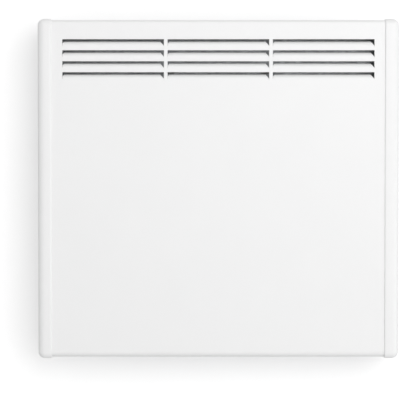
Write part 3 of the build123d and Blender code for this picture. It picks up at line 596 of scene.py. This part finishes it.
def capRing(shape, seam, y, radiusX, radiusZ, leanY, leanZ):
    # the cap's outline seen from the front, open at the seam; its lips lean inwards
    centreX, centreZ = cap["side"] - cap["round"][0], cap["top"] - cap["round"][2]
    radii, steps = (radiusX, radiusZ), cap["roundSteps"]
    width, depth = cap["lip"]
    outline = []
    for x, rise in arcPoints((seam + width, 0), (width, depth), 180, 90, cap["lipSteps"]):
        lean = depth - rise
        outline.append((x, y + leanY * lean, centreZ + radiusZ - leanZ * lean))
    lowLip = [(x, place, -z) for x, place, z in outline[::-1]]
    outline += [(x, y, z) for x, z in arcPoints((centreX, centreZ), radii, 90, 0, steps)]
    outline += [(x, y, z) for x, z in arcPoints((centreX, -centreZ), radii, 0, -90, steps)]
    ring, last = [], None
    for point in outline + lowLip:
        if last is None or (Vector(point) - last.co).length > mergeDistance:
            last = shape.verts.new(point)
        ring.append(last)
    return ring


def closeEnd(shape, ring):
    # the front or back of a cap, with the strips of its lip
    steps = cap["lipSteps"]
    for n in range(steps):
        addFace(shape, [ring[n], ring[n + 1], ring[-n - 2], ring[-n - 1]])
    addFace(shape, ring[steps:len(ring) - steps])


def wellRing(shape, x, margin):
    radius = well["halfWidth"] + margin
    middle = well["halfLength"] - well["halfWidth"]
    outline = arcPoints((well["y"], well["z"] + middle), (radius, radius), 0, 180, well["steps"])
    outline += arcPoints((well["y"], well["z"] - middle), (radius, radius), 180, 360, well["steps"])
    return [shape.verts.new((x, y, z)) for y, z in outline]


def capShape(seam, withWell):
    shape = bmesh.new()
    depthX, depthY, depthZ = cap["round"]
    rings = []
    for n in range(cap["roundSteps"] + 1):
        angle = pi / 2 * (1 - n / cap["roundSteps"])
        y = cap["front"] + depthY * (1 - sin(angle))
        width, height = depthX * cos(angle), depthZ * cos(angle)
        rings.append(capRing(shape, seam, y, width, height, sin(angle), cos(angle)))
    for n in range(cap["backSteps"] + 1):
        angle = pi / 2 * n / cap["backSteps"]
        inset = cap["backRound"] * (1 - cos(angle))
        y = cap["back"] - cap["backRound"] * (1 - sin(angle))
        rings.append(capRing(shape, seam, y, depthX - inset, depthZ - inset, -sin(angle), cos(angle)))
    sideFrom, sideTo = cap["roundSteps"], cap["roundSteps"] + 1
    middle = cap["lipSteps"] + cap["roundSteps"] + 1  # the long edge down the side starts here
    for n, (front, back) in enumerate(zip(rings, rings[1:])):
        for m in range(len(front) - 1):
            if withWell and n == sideFrom and m == middle:
                continue
            addFace(shape, [front[m], front[m + 1], back[m + 1], back[m]])
    closeEnd(shape, rings[0])
    closeEnd(shape, rings[-1])
    if not withWell:
        return shape
    side = [rings[sideFrom][middle], rings[sideFrom][middle + 1], rings[sideTo][middle + 1],
            rings[sideTo][middle]]
    rim, turn, steps = well["rim"], well["floorRound"], well["roundSteps"]
    floor = cap["side"] - well["depth"]
    path = [(rim - rise, x) for x, rise in arcPoints((cap["side"] - rim, 0), (rim, rim), 0, 90, steps)]
    path += arcPoints((-turn, floor + turn), (turn, turn), 0, -90, steps)
    loops = [wellRing(shape, x, margin) for margin, x in path]
    joinRings(shape, loops)
    level, radius = well["neck"]
    halfWidth, low, high = well["window"]
    floorLoops = [loops[-1]]
    for outline in (circlePoints((well["y"], level), radius, well["neckSteps"]),
                    boxOutline(well["y"] - halfWidth, low, well["y"] + halfWidth, high)):
        floorLoops.append([shape.verts.new((floor, y, z)) for y, z in outline])
    fillBetween(shape, floorLoops)
    fillBetween(shape, [side, loops[0]])
    return shape


for name, node in (("endCapRight", "end_cap_right"), ("endCapLeft", "end_cap_left")):
    isRight = name == "endCapRight"
    shape = capShape(cap["seams"][name], isRight)
    bmesh.ops.recalc_face_normals(shape, faces=shape.faces)
    sideFaces = [face for face in shape.faces if abs(face.normal.x) > 0.99]
    if max(sideFaces, key=lambda face: face.calc_center_median().x).normal.x < 0:
        bmesh.ops.reverse_faces(shape, faces=shape.faces)
    if not isRight:  # a mirror image
        bmesh.ops.scale(shape, verts=shape.verts, vec=(-1, 1, 1))
        bmesh.ops.reverse_faces(shape, faces=shape.faces)
    addPiece(name, shape, "mouldedAbsWhite", node, outward=False, sheet=cap["wall"], edge=cap["edge"],
             sharp=cap["sharp"])
print("end caps built")


# thermostat knob: a fluted cup with a pointer groove, and moulded ticks round it

knob = {
    "x": 204.3,  # lower edge
    "z": 86,
    "height": 7.6,
    "radius": 17.95,
    "topRadius": 17,
    "round": 1.3,
    "roundSteps": 5,
    "dish": ((9, 0.15), (0, 0.25)),  # radius and depth of the hollow in its face
    "wall": 2,
    "skirt": 3,
    "hub": (5.4, 4.45),  # radius and lower end
    "bore": (3.05, 6),  # radius and upper end
    "flutes": 24,
    "fluteDepth": 0.55,
    "sides": 192,
    "groove": (0.8, 1.6, 14, 0.6),  # half width, start, end, depth
    "inlay": 0.3,  # height of the grey filling
    "sharp": 40,
}


def knobProfile():
    k, height = knob, knob["height"]
    (bore, boreEnd), (hub, hubEnd) = k["bore"], k["hub"]
    under, inner = height - k["wall"], k["radius"] - k["skirt"]
    profile = [(0, boreEnd), (bore, boreEnd), (bore, hubEnd), (hub, hubEnd), (hub, under), (inner, under),
               (inner, 0), (fluted(k["radius"], k["flutes"], k["fluteDepth"]), 0)]
    centre, radii = (k["topRadius"] - k["round"], height - k["round"]), (k["round"], k["round"])
    for n, (radius, z) in enumerate(arcPoints(centre, radii, 0, 90, k["roundSteps"])):
        fade = 1 - n / k["roundSteps"]
        profile.append((fluted(radius, k["flutes"], k["fluteDepth"] * fade), z))
    return profile + [(radius, height - depth) for radius, depth in k["dish"]]


def slotOutline(halfWidth, start, end, steps=6):
    outline = arcPoints((0, end - halfWidth), (halfWidth, halfWidth), 0, 180, steps)
    return outline + arcPoints((0, start + halfWidth), (halfWidth, halfWidth), 180, 360, steps)


faceRight = Matrix(((0, 0, 1, 0), (1, 0, 0, 0), (0, 1, 0, 0), (0, 0, 0, 1)))  # drawn Z to X, drawn Y to Z
knobPlace = Matrix.Translation((knob["x"], well["y"], knob["z"])) @ faceRight
halfWidth, start, end, depth = knob["groove"]
outline, floor = slotOutline(halfWidth, start, end), knob["height"] - depth
shape, cutter = bmesh.new(), bmesh.new()
addTurned(shape, knobProfile(), knobPlace, knob["sides"])
addPrism(cutter, outline, floor, knob["height"] + cutAbove, knobPlace)
addPiece("thermostatKnob", shape, "satinAbsWhite", "thermostat_knob", "knob", cutter=cutter,
         sharp=knob["sharp"])
shape = bmesh.new()
addPrism(shape, outline, floor, floor + knob["inlay"], knobPlace)
addPiece("knobPointer", shape, "enamelGrey", body="knob")

ticks = {
    "count": 11,
    "sweep": 280,  # degrees, like the knob's turn
    "reach": (19, 20.6),
    "halfWidth": 0.4,
    "height": (-0.2, 0.35),  # from and to, over the floor of the well
    "edge": 0.12,
}
shape = bmesh.new()
dialPlace = Matrix.Translation((cap["side"] - well["depth"], well["y"], knob["z"])) @ faceRight
outline = boxOutline(-ticks["halfWidth"], ticks["reach"][0], ticks["halfWidth"], ticks["reach"][1])
for n in range(ticks["count"]):
    angle = radians(ticks["sweep"] * n / (ticks["count"] - 1))
    addPrism(shape, outline, *ticks["height"], dialPlace @ Matrix.Rotation(-angle, 4, "Z"))
addPiece("dialTicks", shape, "enamelGrey", edge=ticks["edge"])
print("knob built")


# rocker: a shallow curve that tips about its pivot

rocker = {
    "pivot": (202.5, -56, 30),
    "tilt": 8,  # degrees from level
    "half": 8.5,
    "halfWidth": 5.3,
    "stand": (3.6, 5.2),  # at the middle and the ends
    "root": (3.5, 4.25),  # depth below the pivot and half length there
    "steps": 14,
    "pin": (1.2, 0.9),  # radius, and length past each side
    "pinSides": 24,
    "edge": 0.45,
    "edgeSteps": 3,
}
half, width = rocker["half"], rocker["halfWidth"]
(low, high), (rootDepth, rootHalf) = rocker["stand"], rocker["root"]
outline = [(-rootDepth, -rootHalf), (0, -half)]
for n in range(rocker["steps"] + 1):
    share = 2 * n / rocker["steps"] - 1
    outline.append((low + (high - low) * share ** 2, half * share))
outline += [(0, half), (-rootDepth, rootHalf)]
pinRadius, pinLength = rocker["pin"]
reach = width + pinLength
pin = [(0, -reach), (pinRadius, -reach), (pinRadius, reach), (0, reach)]
place = Matrix.Translation(rocker["pivot"]) @ Matrix.Rotation(radians(rocker["tilt"]), 4, "Y")
place = place @ Matrix(((1, 0, 0, 0), (0, 0, 1, 0), (0, 1, 0, 0), (0, 0, 0, 1)))  # drawn Z along Y
shape = bmesh.new()
addPrism(shape, outline, -width, width, place)
addTurned(shape, pin, place, rocker["pinSides"])
addPiece("switchRocker", shape, "polishedPolyamide", "switch_rocker", "rocker", edge=rocker["edge"],
         edgeSteps=rocker["edgeSteps"])
print("rocker built")


# screws and rivets

screw = {
    "head": ((0, 1.4), (0.8, 1.39), (1.5, 1.3), (2.1, 1.1), (2.55, 0.75), (2.75, 0.35), (2.8, 0.08),
             (2.72, 0)),  # radius, height
    "shank": (1.5, 1.1, 6, 1),  # outer and root radius, length, pitch
    "arm": (1.75, 0.36),  # half length and half width of the cross
    "recess": 1,
    "recessTaper": 0.6,
    "turn": (17, 31, 53),  # degrees: start, and per mm of X and Z, so that no two crosses agree
    "sides": 36,
}
rivet = {
    "head": ((0, 0.5), (0.85, 0.5), (0.95, 0.95), (1.5, 1), (2.2, 0.8), (2.75, 0.4), (3, 0.08),
             (2.95, 0)),
    "tail": ((1.6, 0), (2.5, 0.1), (2.6, 0.5), (2.1, 0.9), (1.2, 1), (0, 0.98)),
    "height": 1,  # of head and tail
    "shank": ((1.6, 0), (1.6, -1)),
    "sides": 32,
}


def addScrews(name, node, direction, height=1.0):
    # direction is where the shank points, height a share of the usual head's
    way, length = Vector(direction), screw["shank"][2]
    start, perX, perZ = screw["turn"]
    profile = [(radius, z * height) for radius, z in screw["head"]] + threadProfile(*screw["shank"])
    top = screw["head"][0][1] * height
    shape, cutter = bmesh.new(), bmesh.new()
    for low, high in solidBoxes(node):
        middle = (low + high) / 2
        tail = [high[i] if way[i] > 0.5 else low[i] if way[i] < -0.5 else middle[i] for i in range(3)]
        turn = Matrix.Rotation(radians(start + perX * middle.x + perZ * middle.z), 4, "Z")
        place = alongAxis(Vector(tail) - way * length, -way) @ turn
        addTurned(shape, profile, place, screw["sides"])
        addPrism(cutter, crossOutline(*screw["arm"]), top - screw["recess"] * height, top + cutAbove,
                 place, screw["recessTaper"])
    addPiece(name, shape, "zincPlatedSteel", node, cutter=cutter)


addScrews("rearScrews", "rear_screws", (0, -1, 0))
addScrews("capScrews", "cap_screws", (0, -1, 0))
addScrews("inletScrews", "inlet_screws", (0, 0, 1), 0.5)  # low heads, out of sight from the front

shape = bmesh.new()
for low, high in solidBoxes("element_rivets"):
    middle = (low + high) / 2
    rear = alongAxis((middle.x, high.y - rivet["height"], middle.z), (0, 1, 0))
    addTurned(shape, rivet["head"] + rivet["shank"], rear, rivet["sides"])
    inside = alongAxis((middle.x, low.y + rivet["height"], middle.z), (0, -1, 0))
    addTurned(shape, rivet["shank"][1:] + rivet["tail"], inside, rivet["sides"])
addPiece("elementRivets", shape, "millAluminium", "element_rivets")
print("screws and rivets built")


# nuts, gland, earth stud and terminal screws: places in mm

gland = {
    "place": (172, -27.95, -174),  # on the rear panel's outer face
    "hexApothem": 10,
    "hexHeight": 4,
    "grip": ((7, 4), (7, 7.6), (6.7, 9)),  # radius and height of the ribbed part
    "dome": ((5.9, 10.2), (4.9, 10.9), (4.4, 11), (4.25, 10.6)),
    "ribs": (14, 0.5),  # count and depth
    "neck": (0.2, 3.7),  # where the body runs inside the hexagon
    "seal": ((3.75, 3), (3.75, 10.1), (4, 10.45), (4.25, 10.1), (4.25, 3), (3.75, 3)),
    "thread": (7.5, 6.9, 8.8, 1.5),  # outer and root radius, length, pitch
    "hexBore": 7.3,
    "nutHeight": 4,
    "nutSeat": -28.85,
    "sides": 84,
    "sealSides": 40,
}
outer, length = gland["thread"][0], gland["thread"][2]
innerEnd = gland["dome"][-1]
profile = [innerEnd, (innerEnd[0], -length)] + threadProfile(*gland["thread"])[-2::-1]
profile += [(outer, height) for height in gland["neck"]]
profile += [(fluted(radius, *gland["ribs"]), height) for radius, height in gland["grip"]]
place = alongAxis(gland["place"], (0, 1, 0))
shape = bmesh.new()
addTurned(shape, profile + list(gland["dome"]), place, gland["sides"])
addNut(shape, place, gland["hexApothem"], gland["hexBore"], gland["hexHeight"])
addPiece("cableGland", shape, "mouldedPolyamideBlack", "cable_gland")
seal = addTurned(bmesh.new(), gland["seal"], place, gland["sealSides"])
addPiece("glandSeal", seal, "extrudedRubber")
place = alongAxis((gland["place"][0], gland["nutSeat"], gland["place"][2]), (0, -1, 0))
nut = addNut(bmesh.new(), place, gland["hexApothem"], outer, gland["nutHeight"])
addPiece("glandNut", nut, "mouldedPolyamideBlack", "gland_nut")

earth = {
    "place": (140, -28, -176),
    "head": ((0, 0.85), (2.6, 0.85), (3.6, 0.7), (4.1, 0.35), (4.2, 0.05), (4.1, 0)),
    "thread": (2, 1.65, 12.8, 0.7),
    "ring": ((2.1, 0), (4.2, 0), (4.2, 0.9), (2.1, 0.9), (2.1, 0)),  # the lead's eye: radius, height
    "ringSeat": -29.85,
    "washer": (3.9, 2.1, 0.6),  # outer and inner radius, thickness
    "spikes": (16, 0.5),  # count and depth
    "washerSeat": -31.2,
    "nut": (4, 1.9, 3.2),  # apothem, bore, height
    "nutSeat": -31.8,
    "sides": 32,
    "washerSides": 96,
}


def onStud(seat):
    # a place on the earth stud, drawn towards the inside
    return alongAxis((earth["place"][0], earth[seat], earth["place"][2]), (0, -1, 0))


profile = list(earth["head"]) + threadProfile(*earth["thread"])
stud = addTurned(bmesh.new(), profile, alongAxis(earth["place"], (0, 1, 0)), earth["sides"])
addPiece("earthStud", stud, "zincPlatedSteel", "earth_stud")
shape = addNut(bmesh.new(), onStud("nutSeat"), *earth["nut"])
outer, inner, thickness = earth["washer"]
rim = fluted(outer, *earth["spikes"])
profile = [(inner, 0), (rim, 0), (rim, thickness), (inner, thickness), (inner, 0)]
addTurned(shape, profile, onStud("washerSeat"), earth["washerSides"])
addPiece("earthNut", shape, "turnedBrass", "earth_nut")

statNut = {
    "place": (203.55, -56, 86),
    "size": (6.4, 4.6, 2.2),  # apothem, bore, height
}
nut = addNut(bmesh.new(), alongAxis(statNut["place"], (1, 0, 0)), *statNut["size"])
addPiece("thermostatNut", nut, "turnedBrass", "thermostat_nut")

terminal = {
    "head": ((0, 0), (1.6, 0), (1.95, -0.3), (2, -3), (0, -3)),
    "slot": (3, 0.3, 0.7),  # half length, half width and depth
    "turn": (0.4, 0.9),  # radians: the first screw's, and how much further the next one stands
    "sides": 28,
}
shape, cutter = bmesh.new(), bmesh.new()
halfLength, halfWidth, depth = terminal["slot"]
for n, (low, high) in enumerate(solidBoxes("terminal_screws")):
    middle = (low + high) / 2
    turn = Matrix.Rotation(terminal["turn"][0] + terminal["turn"][1] * n, 4, "Z")
    place = alongAxis((middle.x, low.y, middle.z), (0, -1, 0)) @ turn
    addTurned(shape, terminal["head"], place, terminal["sides"])
    outline = boxOutline(-halfLength, -halfWidth, halfLength, halfWidth)
    addPrism(cutter, outline, -depth, cutAbove, place)
addPiece("terminalScrews", shape, "turnedBrass", "terminal_screws", cutter=cutter)
print("nuts, gland and earth stud built")


# element: sheath, fins, insulators, pins and bushes

element = {
    "y": -56,
    "z": -95,
    "ends": (-168, 158),
    "radius": 4.2,
    "endRound": 0.4,
    "crimp": (3, 0.5, 0.25),  # place, half width and depth of the rolled groove near each end
    "insulator": ((1.7, 0), (3.3, 0), (3.4, 0.3), (3.4, 1.6), (2.7, 1.9), (2.7, 2.6), (3.3, 2.9),
                  (3.3, 4), (2.5, 4.4), (2.4, 5.8), (2.2, 6), (1.7, 6), (1.7, 0)),
    "pin": (1.6, 1.3, 6.5, 0.8),  # outer and root radius, length of the thread, pitch
    "pinLength": 14,
    "pinBevel": 0.3,
    "bush": ((4.25, -2.25), (6.6, -2.25), (7, -1.9), (7, -0.95), (6.7, -0.65), (5.8, -0.6),
             (5.8, 0.6), (6.7, 0.65), (7, 0.95), (7, 1.9), (6.6, 2.25), (4.25, 2.25), (4.25, -2.25)),
    "sides": {"tube": 48, "insulator": 32, "pin": 24, "bush": 40},
}
fin = {
    "halfDepth": 13,
    "halfHeight": 25,
    "corner": 2.5,
    "cornerSteps": 4,
    "start": 0.05,  # of the first fin, past the CAD's
    "bore": 4.25,
    # the sleeve drawn out of each fin: its margin over the bore, and the distance from the plate
    "collar": ((0.8, 0), (0.35, 0.15), (0.08, 0.55), (0, 1), (0, 2.8), (0.3, 3.2)),
    "wall": 0.4,
    "steps": 36,
}
sides = element["sides"]


def onElement(x, way=1):
    return alongAxis((x, element["y"], element["z"]), (way, 0, 0))


left, right = element["ends"]
groove, grooveHalf, depth = element["crimp"]
length, radius, end = right - left, element["radius"], element["endRound"]
half = [(0, 0), (radius - end, 0), (radius, end), (radius, groove - grooveHalf), (radius - depth, groove),
        (radius, groove + grooveHalf)]
profile = half + [(reach, length - x) for reach, x in half[::-1]]
tube = addTurned(bmesh.new(), profile, onElement(left), sides["tube"])
addPiece("heatingTube", tube, "heatTintedSteel", "heating_tube")

insulators, pins = bmesh.new(), bmesh.new()
outer, reach = element["pin"][0], element["pinLength"]
pin = [(0, 0), (outer - element["pinBevel"], 0)] + threadProfile(*element["pin"])[:-2]
pin += [(outer, -reach), (0, -reach)]
for x, way in ((left, -1), (right, 1)):
    addTurned(insulators, element["insulator"], onElement(x, way), sides["insulator"])
    addTurned(pins, pin, onElement(x + way * reach, way), sides["pin"])
addPiece("elementInsulators", insulators, "firedSteatite", "element_insulators")
addPiece("elementPins", pins, "zincPlatedSteel", "element_pins")

shape = bmesh.new()
for low, high in solidBoxes("element_bushes"):
    addTurned(shape, element["bush"], alongAxis((low + high) / 2, (1, 0, 0)), sides["bush"])
addPiece("elementBushes", shape, "mouldedSilicone", "element_bushes")

finBoxes = solidBoxes("heating_fins")
shape = bmesh.new()
outline = []
for turn, way in ((0, (1, 1)), (90, (-1, 1)), (180, (-1, -1)), (270, (1, -1))):
    centre = [way[n] * (fin[half] - fin["corner"]) for n, half in enumerate(("halfDepth", "halfHeight"))]
    outline += arcPoints(centre, (fin["corner"], fin["corner"]), turn, turn + 90, fin["cornerSteps"])
plate = [shape.verts.new((0, y, z)) for y, z in outline]
rings = []
for margin, x in fin["collar"]:
    circle = circlePoints((0, 0), fin["bore"] + margin, fin["steps"])
    rings.append([shape.verts.new((x, y, z)) for y, z in circle])
fillBetween(shape, [plate, rings[0]])
joinRings(shape, rings)
bmesh.ops.recalc_face_normals(shape, faces=shape.faces)
bmesh.ops.translate(shape, verts=shape.verts,
                    vec=(finBoxes[0][0].x + fin["start"], element["y"], element["z"]))
fins = addPiece("heatingFins", shape, "millAluminium", "heating_fins", outward=False,
                sheet=-fin["wall"])
spacing = finBoxes[1][0].x - finBoxes[0][0].x
addModifier(fins, "row", "ARRAY", use_relative_offset=False, use_constant_offset=True,
            constant_offset_displace=(spacing * mm, 0, 0), count=len(finBoxes))
print("element built")


# leads and the cut-out's sensing line: routes of (x, y, z) points

leads = {
    "liveLeads": {
        "node": "live_leads", "finish": "extrudedPvcBrown", "radius": 1.1, "routes": (
            ((179.33, -38.8, -121.9), (179.33, -38.8, 1), (166.5, -56, 12), (166.5, -56, 23),
             (177.5, -56, 23)),
            ((177.5, -56, 37), (166.5, -56, 37), (166.5, -56, 48), (188.1, -56, 57),
             (188.1, -56, 68)),
            ((175.05, -56, 86), (160, -56, 86), (160, -56, -9), (160, -37.3, -20),
             (160, -37.3, -31)),
            ((160, -37.3, -61), (160, -37.3, -72), (183, -56, -84), (183, -56, -95),
             (172, -56, -95)),
        ),
    },
    "neutralLead": {
        "node": "neutral_lead", "finish": "extrudedPvcBlue", "radius": 1.1, "routes": (
            ((156.67, -38.8, -134.1), (156.67, -38.8, -145.1), (145.67, -38, -184),
             (-193, -38, -184), (-193, -38, -117), (-193, -56, -106),
             (-193, -56, -95), (-182, -56, -95)),
        ),
    },
    "earthLead": {
        "node": "earth_lead", "finish": "extrudedPvcStriped", "radius": 1.1, "routes": (
            ((168, -38.8, -134.1), (168, -38.8, -145.1), (152.6, -30.3, -176),
             (143.78, -30.3, -176)),
        ),
    },
    "sensingLine": {
        "node": "cutout_capillary", "finish": "drawnCopper", "radius": 1, "routes": (
            ((149, -37.3, -46), (137, -37.3, -46), (125, -56, -63), (-138, -56, -63)),
        ),
    },
}
sleeve = {
    "profile": ((1.15, 0), (1.6, 0.2), (1.75, 0.6), (1.7, 2.2), (1.35, 2.6), (1.35, 3.4), (1.7, 3.8),
                (1.7, 6.4), (1.3, 6.9), (1.15, 7), (1.15, 0)),  # radius, distance from the lead's end
    "sides": 20,
}
sleeves = bmesh.new()
for name, lead in leads.items():
    addTube(name, lead["routes"], lead["radius"], lead["finish"], lead["node"])
    if name == "sensingLine":
        continue
    for route in lead["routes"]:
        for end, before in ((route[0], route[1]), (route[-1], route[-2])):
            place = alongAxis(end, Vector(before) - Vector(end))
            addTurned(sleeves, sleeve["profile"], place, sleeve["sides"])
addPiece("crimpSleeves", sleeves, "mouldedSilicone")
ring = addTurned(bmesh.new(), earth["ring"], onStud("ringSeat"), earth["sides"])
addPiece("earthRing", ring, "zincPlatedSteel")
print("leads built")


# carried-over pieces: welded, with smooth faces and softened edges

edgeWidths = {  # mm
    "rear_panel": 0.15, "inlet_grille": 0.15, "wall_bracket": 0.25, "latch_clips": 0.15,
    "bracket_pads": 0.6, "element_bracket_left": 0.2, "element_bracket_right": 0.2, "air_guide": 0.1,
    "thermostat_body": 0.4, "thermostat_shaft": 0.2, "switch_body": 0.25, "switch_tabs": 0.15,
    "cutout_body": 0.4, "capillary_clips": 0.1, "terminal_block": 0.35, "lead_clips": 0.25,
}
softening = {"weld": 0.002, "flat": 0.5}  # mm between joined points, degrees within which faces are one
weld = bpy.data.node_groups.new("weldAndSmooth", "GeometryNodeTree")
weld.interface.new_socket("Geometry", in_out="INPUT", socket_type="NodeSocketGeometry")
weld.interface.new_socket("Geometry", in_out="OUTPUT", socket_type="NodeSocketGeometry")
result = addNode(weld, "NodeGroupInput")
for kind, settings in (("MergeByDistance", {"Distance": softening["weld"] * mm}),
                       ("RemoveAttribute", {"Name": "custom_normal"}),
                       ("RemoveAttribute", {"Name": "sharp_edge"}),
                       ("SetShadeSmooth", {"Shade Smooth": True})):
    result = addNode(weld, "GeometryNode" + kind, settings, {"Geometry": result.outputs[0]})
addNode(weld, "NodeGroupOutput", links={0: result.outputs[0]})
for nodeName, width in edgeWidths.items():
    piece = nodes[nodeName]
    addModifier(piece, "weld", "NODES", node_group=weld)
    addModifier(piece, "flat", "DECIMATE", decimate_type="DISSOLVE",
                angle_limit=radians(softening["flat"]))
    addEdges(piece, width)
print("carried-over pieces softened")


# stage: wall, floor, lights and camera

stage = {
    "wallGap": 0.5,  # mm behind the bracket
    "wallSize": 6,  # m
    "floorLevel": -0.7,  # m
    "wallColour": "#E6E6E6",
    "wallGlow": 0.366,  # for the camera and reflections, not as light on the object
    "skyColour": "#FFFFFF",
    "skyLevel": 0.52,  # as light on the object
    "keyPower": 46,
    "keySize": 2,
    "keyPlace": (0.9, -3.2, 0.8),
    "sidePower": 9,
    "sideSize": 1.2,
    "sidePlace": (2.1, -1.3, -0.5),
}


def directRays(tree):
    # 1 for the camera and for reflections, so that metal shows the same white background
    ray = addNode(tree, "ShaderNodeLightPath")
    direct = ray.outputs["Is Camera Ray"]
    for kind in ("Is Glossy Ray", "Is Transmission Ray"):
        direct = addNode(tree, "ShaderNodeMath", {"operation": "MAXIMUM"},
                         {0: direct, 1: ray.outputs[kind]}).outputs[0]
    return direct


def stageMaterial(name):
    # pale matt paint that reads as white to the camera, keeps the shadow and is open from behind
    material = emptyMaterial(name)
    tree = material.node_tree
    paint = addNode(tree, "ShaderNodeBsdfDiffuse", {"Color": linearColour(stage["wallColour"])})
    strength = addNode(tree, "ShaderNodeMath", {"operation": "MULTIPLY", 1: stage["wallGlow"]},
                       {0: directRays(tree)})
    glow = addNode(tree, "ShaderNodeEmission", links={"Strength": strength.outputs[0]})
    front = addNode(tree, "ShaderNodeAddShader", links={0: paint.outputs[0], 1: glow.outputs[0]})
    side = addNode(tree, "ShaderNodeNewGeometry")
    clear = addNode(tree, "ShaderNodeBsdfTransparent")
    surface = addNode(tree, "ShaderNodeMixShader", links={
        0: side.outputs["Backfacing"], 1: front.outputs[0], 2: clear.outputs[0]})
    addNode(tree, "ShaderNodeOutputMaterial", links={"Surface": surface.outputs[0]})
    return material


def stagePlane(name, corners, material):
    mesh = bpy.data.meshes.new(name)
    mesh.from_pydata(corners, [], [(0, 1, 2, 3)])
    mesh.materials.append(material)
    plane = addObject(name, mesh)
    return plane


half, back, low = stage["wallSize"] / 2, stage["wallGap"] * mm, stage["floorLevel"]
corners = [(-half, back, low), (half, back, low), (half, back, half), (-half, back, half)]
wall = stagePlane("wall", corners, stageMaterial("mattWall"))
wall.visible_shadow = False
wall.visible_diffuse = False
wall.visible_glossy = False
corners = [(-half, -half, low), (half, -half, low), (half, half, low), (-half, half, low)]
stagePlane("floor", corners, stageMaterial("mattFloor"))

world = bpy.data.worlds.new("studio")
bpy.context.scene.world = world
world.use_nodes = True
tree = world.node_tree
tree.nodes.clear()
level = addNode(tree, "ShaderNodeMapRange", {"To Min": stage["skyLevel"], "To Max": 1.0},
                {"Value": directRays(tree)})
sky = addNode(tree, "ShaderNodeBackground", {"Color": linearColour(stage["skyColour"])},
              {"Strength": level.outputs[0]})
addNode(tree, "ShaderNodeOutputWorld", links={"Surface": sky.outputs[0]})

for lampName in ("key", "side"):
    lamp = bpy.data.lights.new(lampName, "AREA")
    lamp.energy = stage[lampName + "Power"]
    lamp.size = stage[lampName + "Size"]
    lampObject = addObject(lampName, lamp)
    lampObject.location = stage[lampName + "Place"]
    lampObject.rotation_euler = (-lampObject.location).to_track_quat("-Z", "Y").to_euler()

view = {
    "aim": (-0.0216, -0.083, -0.0129),  # what the photo's middle shows, m
    "distance": 2,
    "down": 1.7,  # degrees
    "halfWidth": 0.2355,  # m seen either side of the aim
    "sensor": 36,
}
camera = bpy.data.cameras.new("camera")
camera.sensor_width = view["sensor"]
camera.lens = view["sensor"] / 2 / (view["halfWidth"] / view["distance"])
cameraObject = addObject("camera", camera)
back = Vector((0, -cos(radians(view["down"])), sin(radians(view["down"]))))
cameraObject.location = Vector(view["aim"]) + back * view["distance"]
cameraObject.rotation_euler = (-back).to_track_quat("-Z", "Y").to_euler()
bpy.context.scene.camera = cameraObject
bpy.context.scene.view_settings.view_transform = "Standard"
print("stage, lights and camera set")
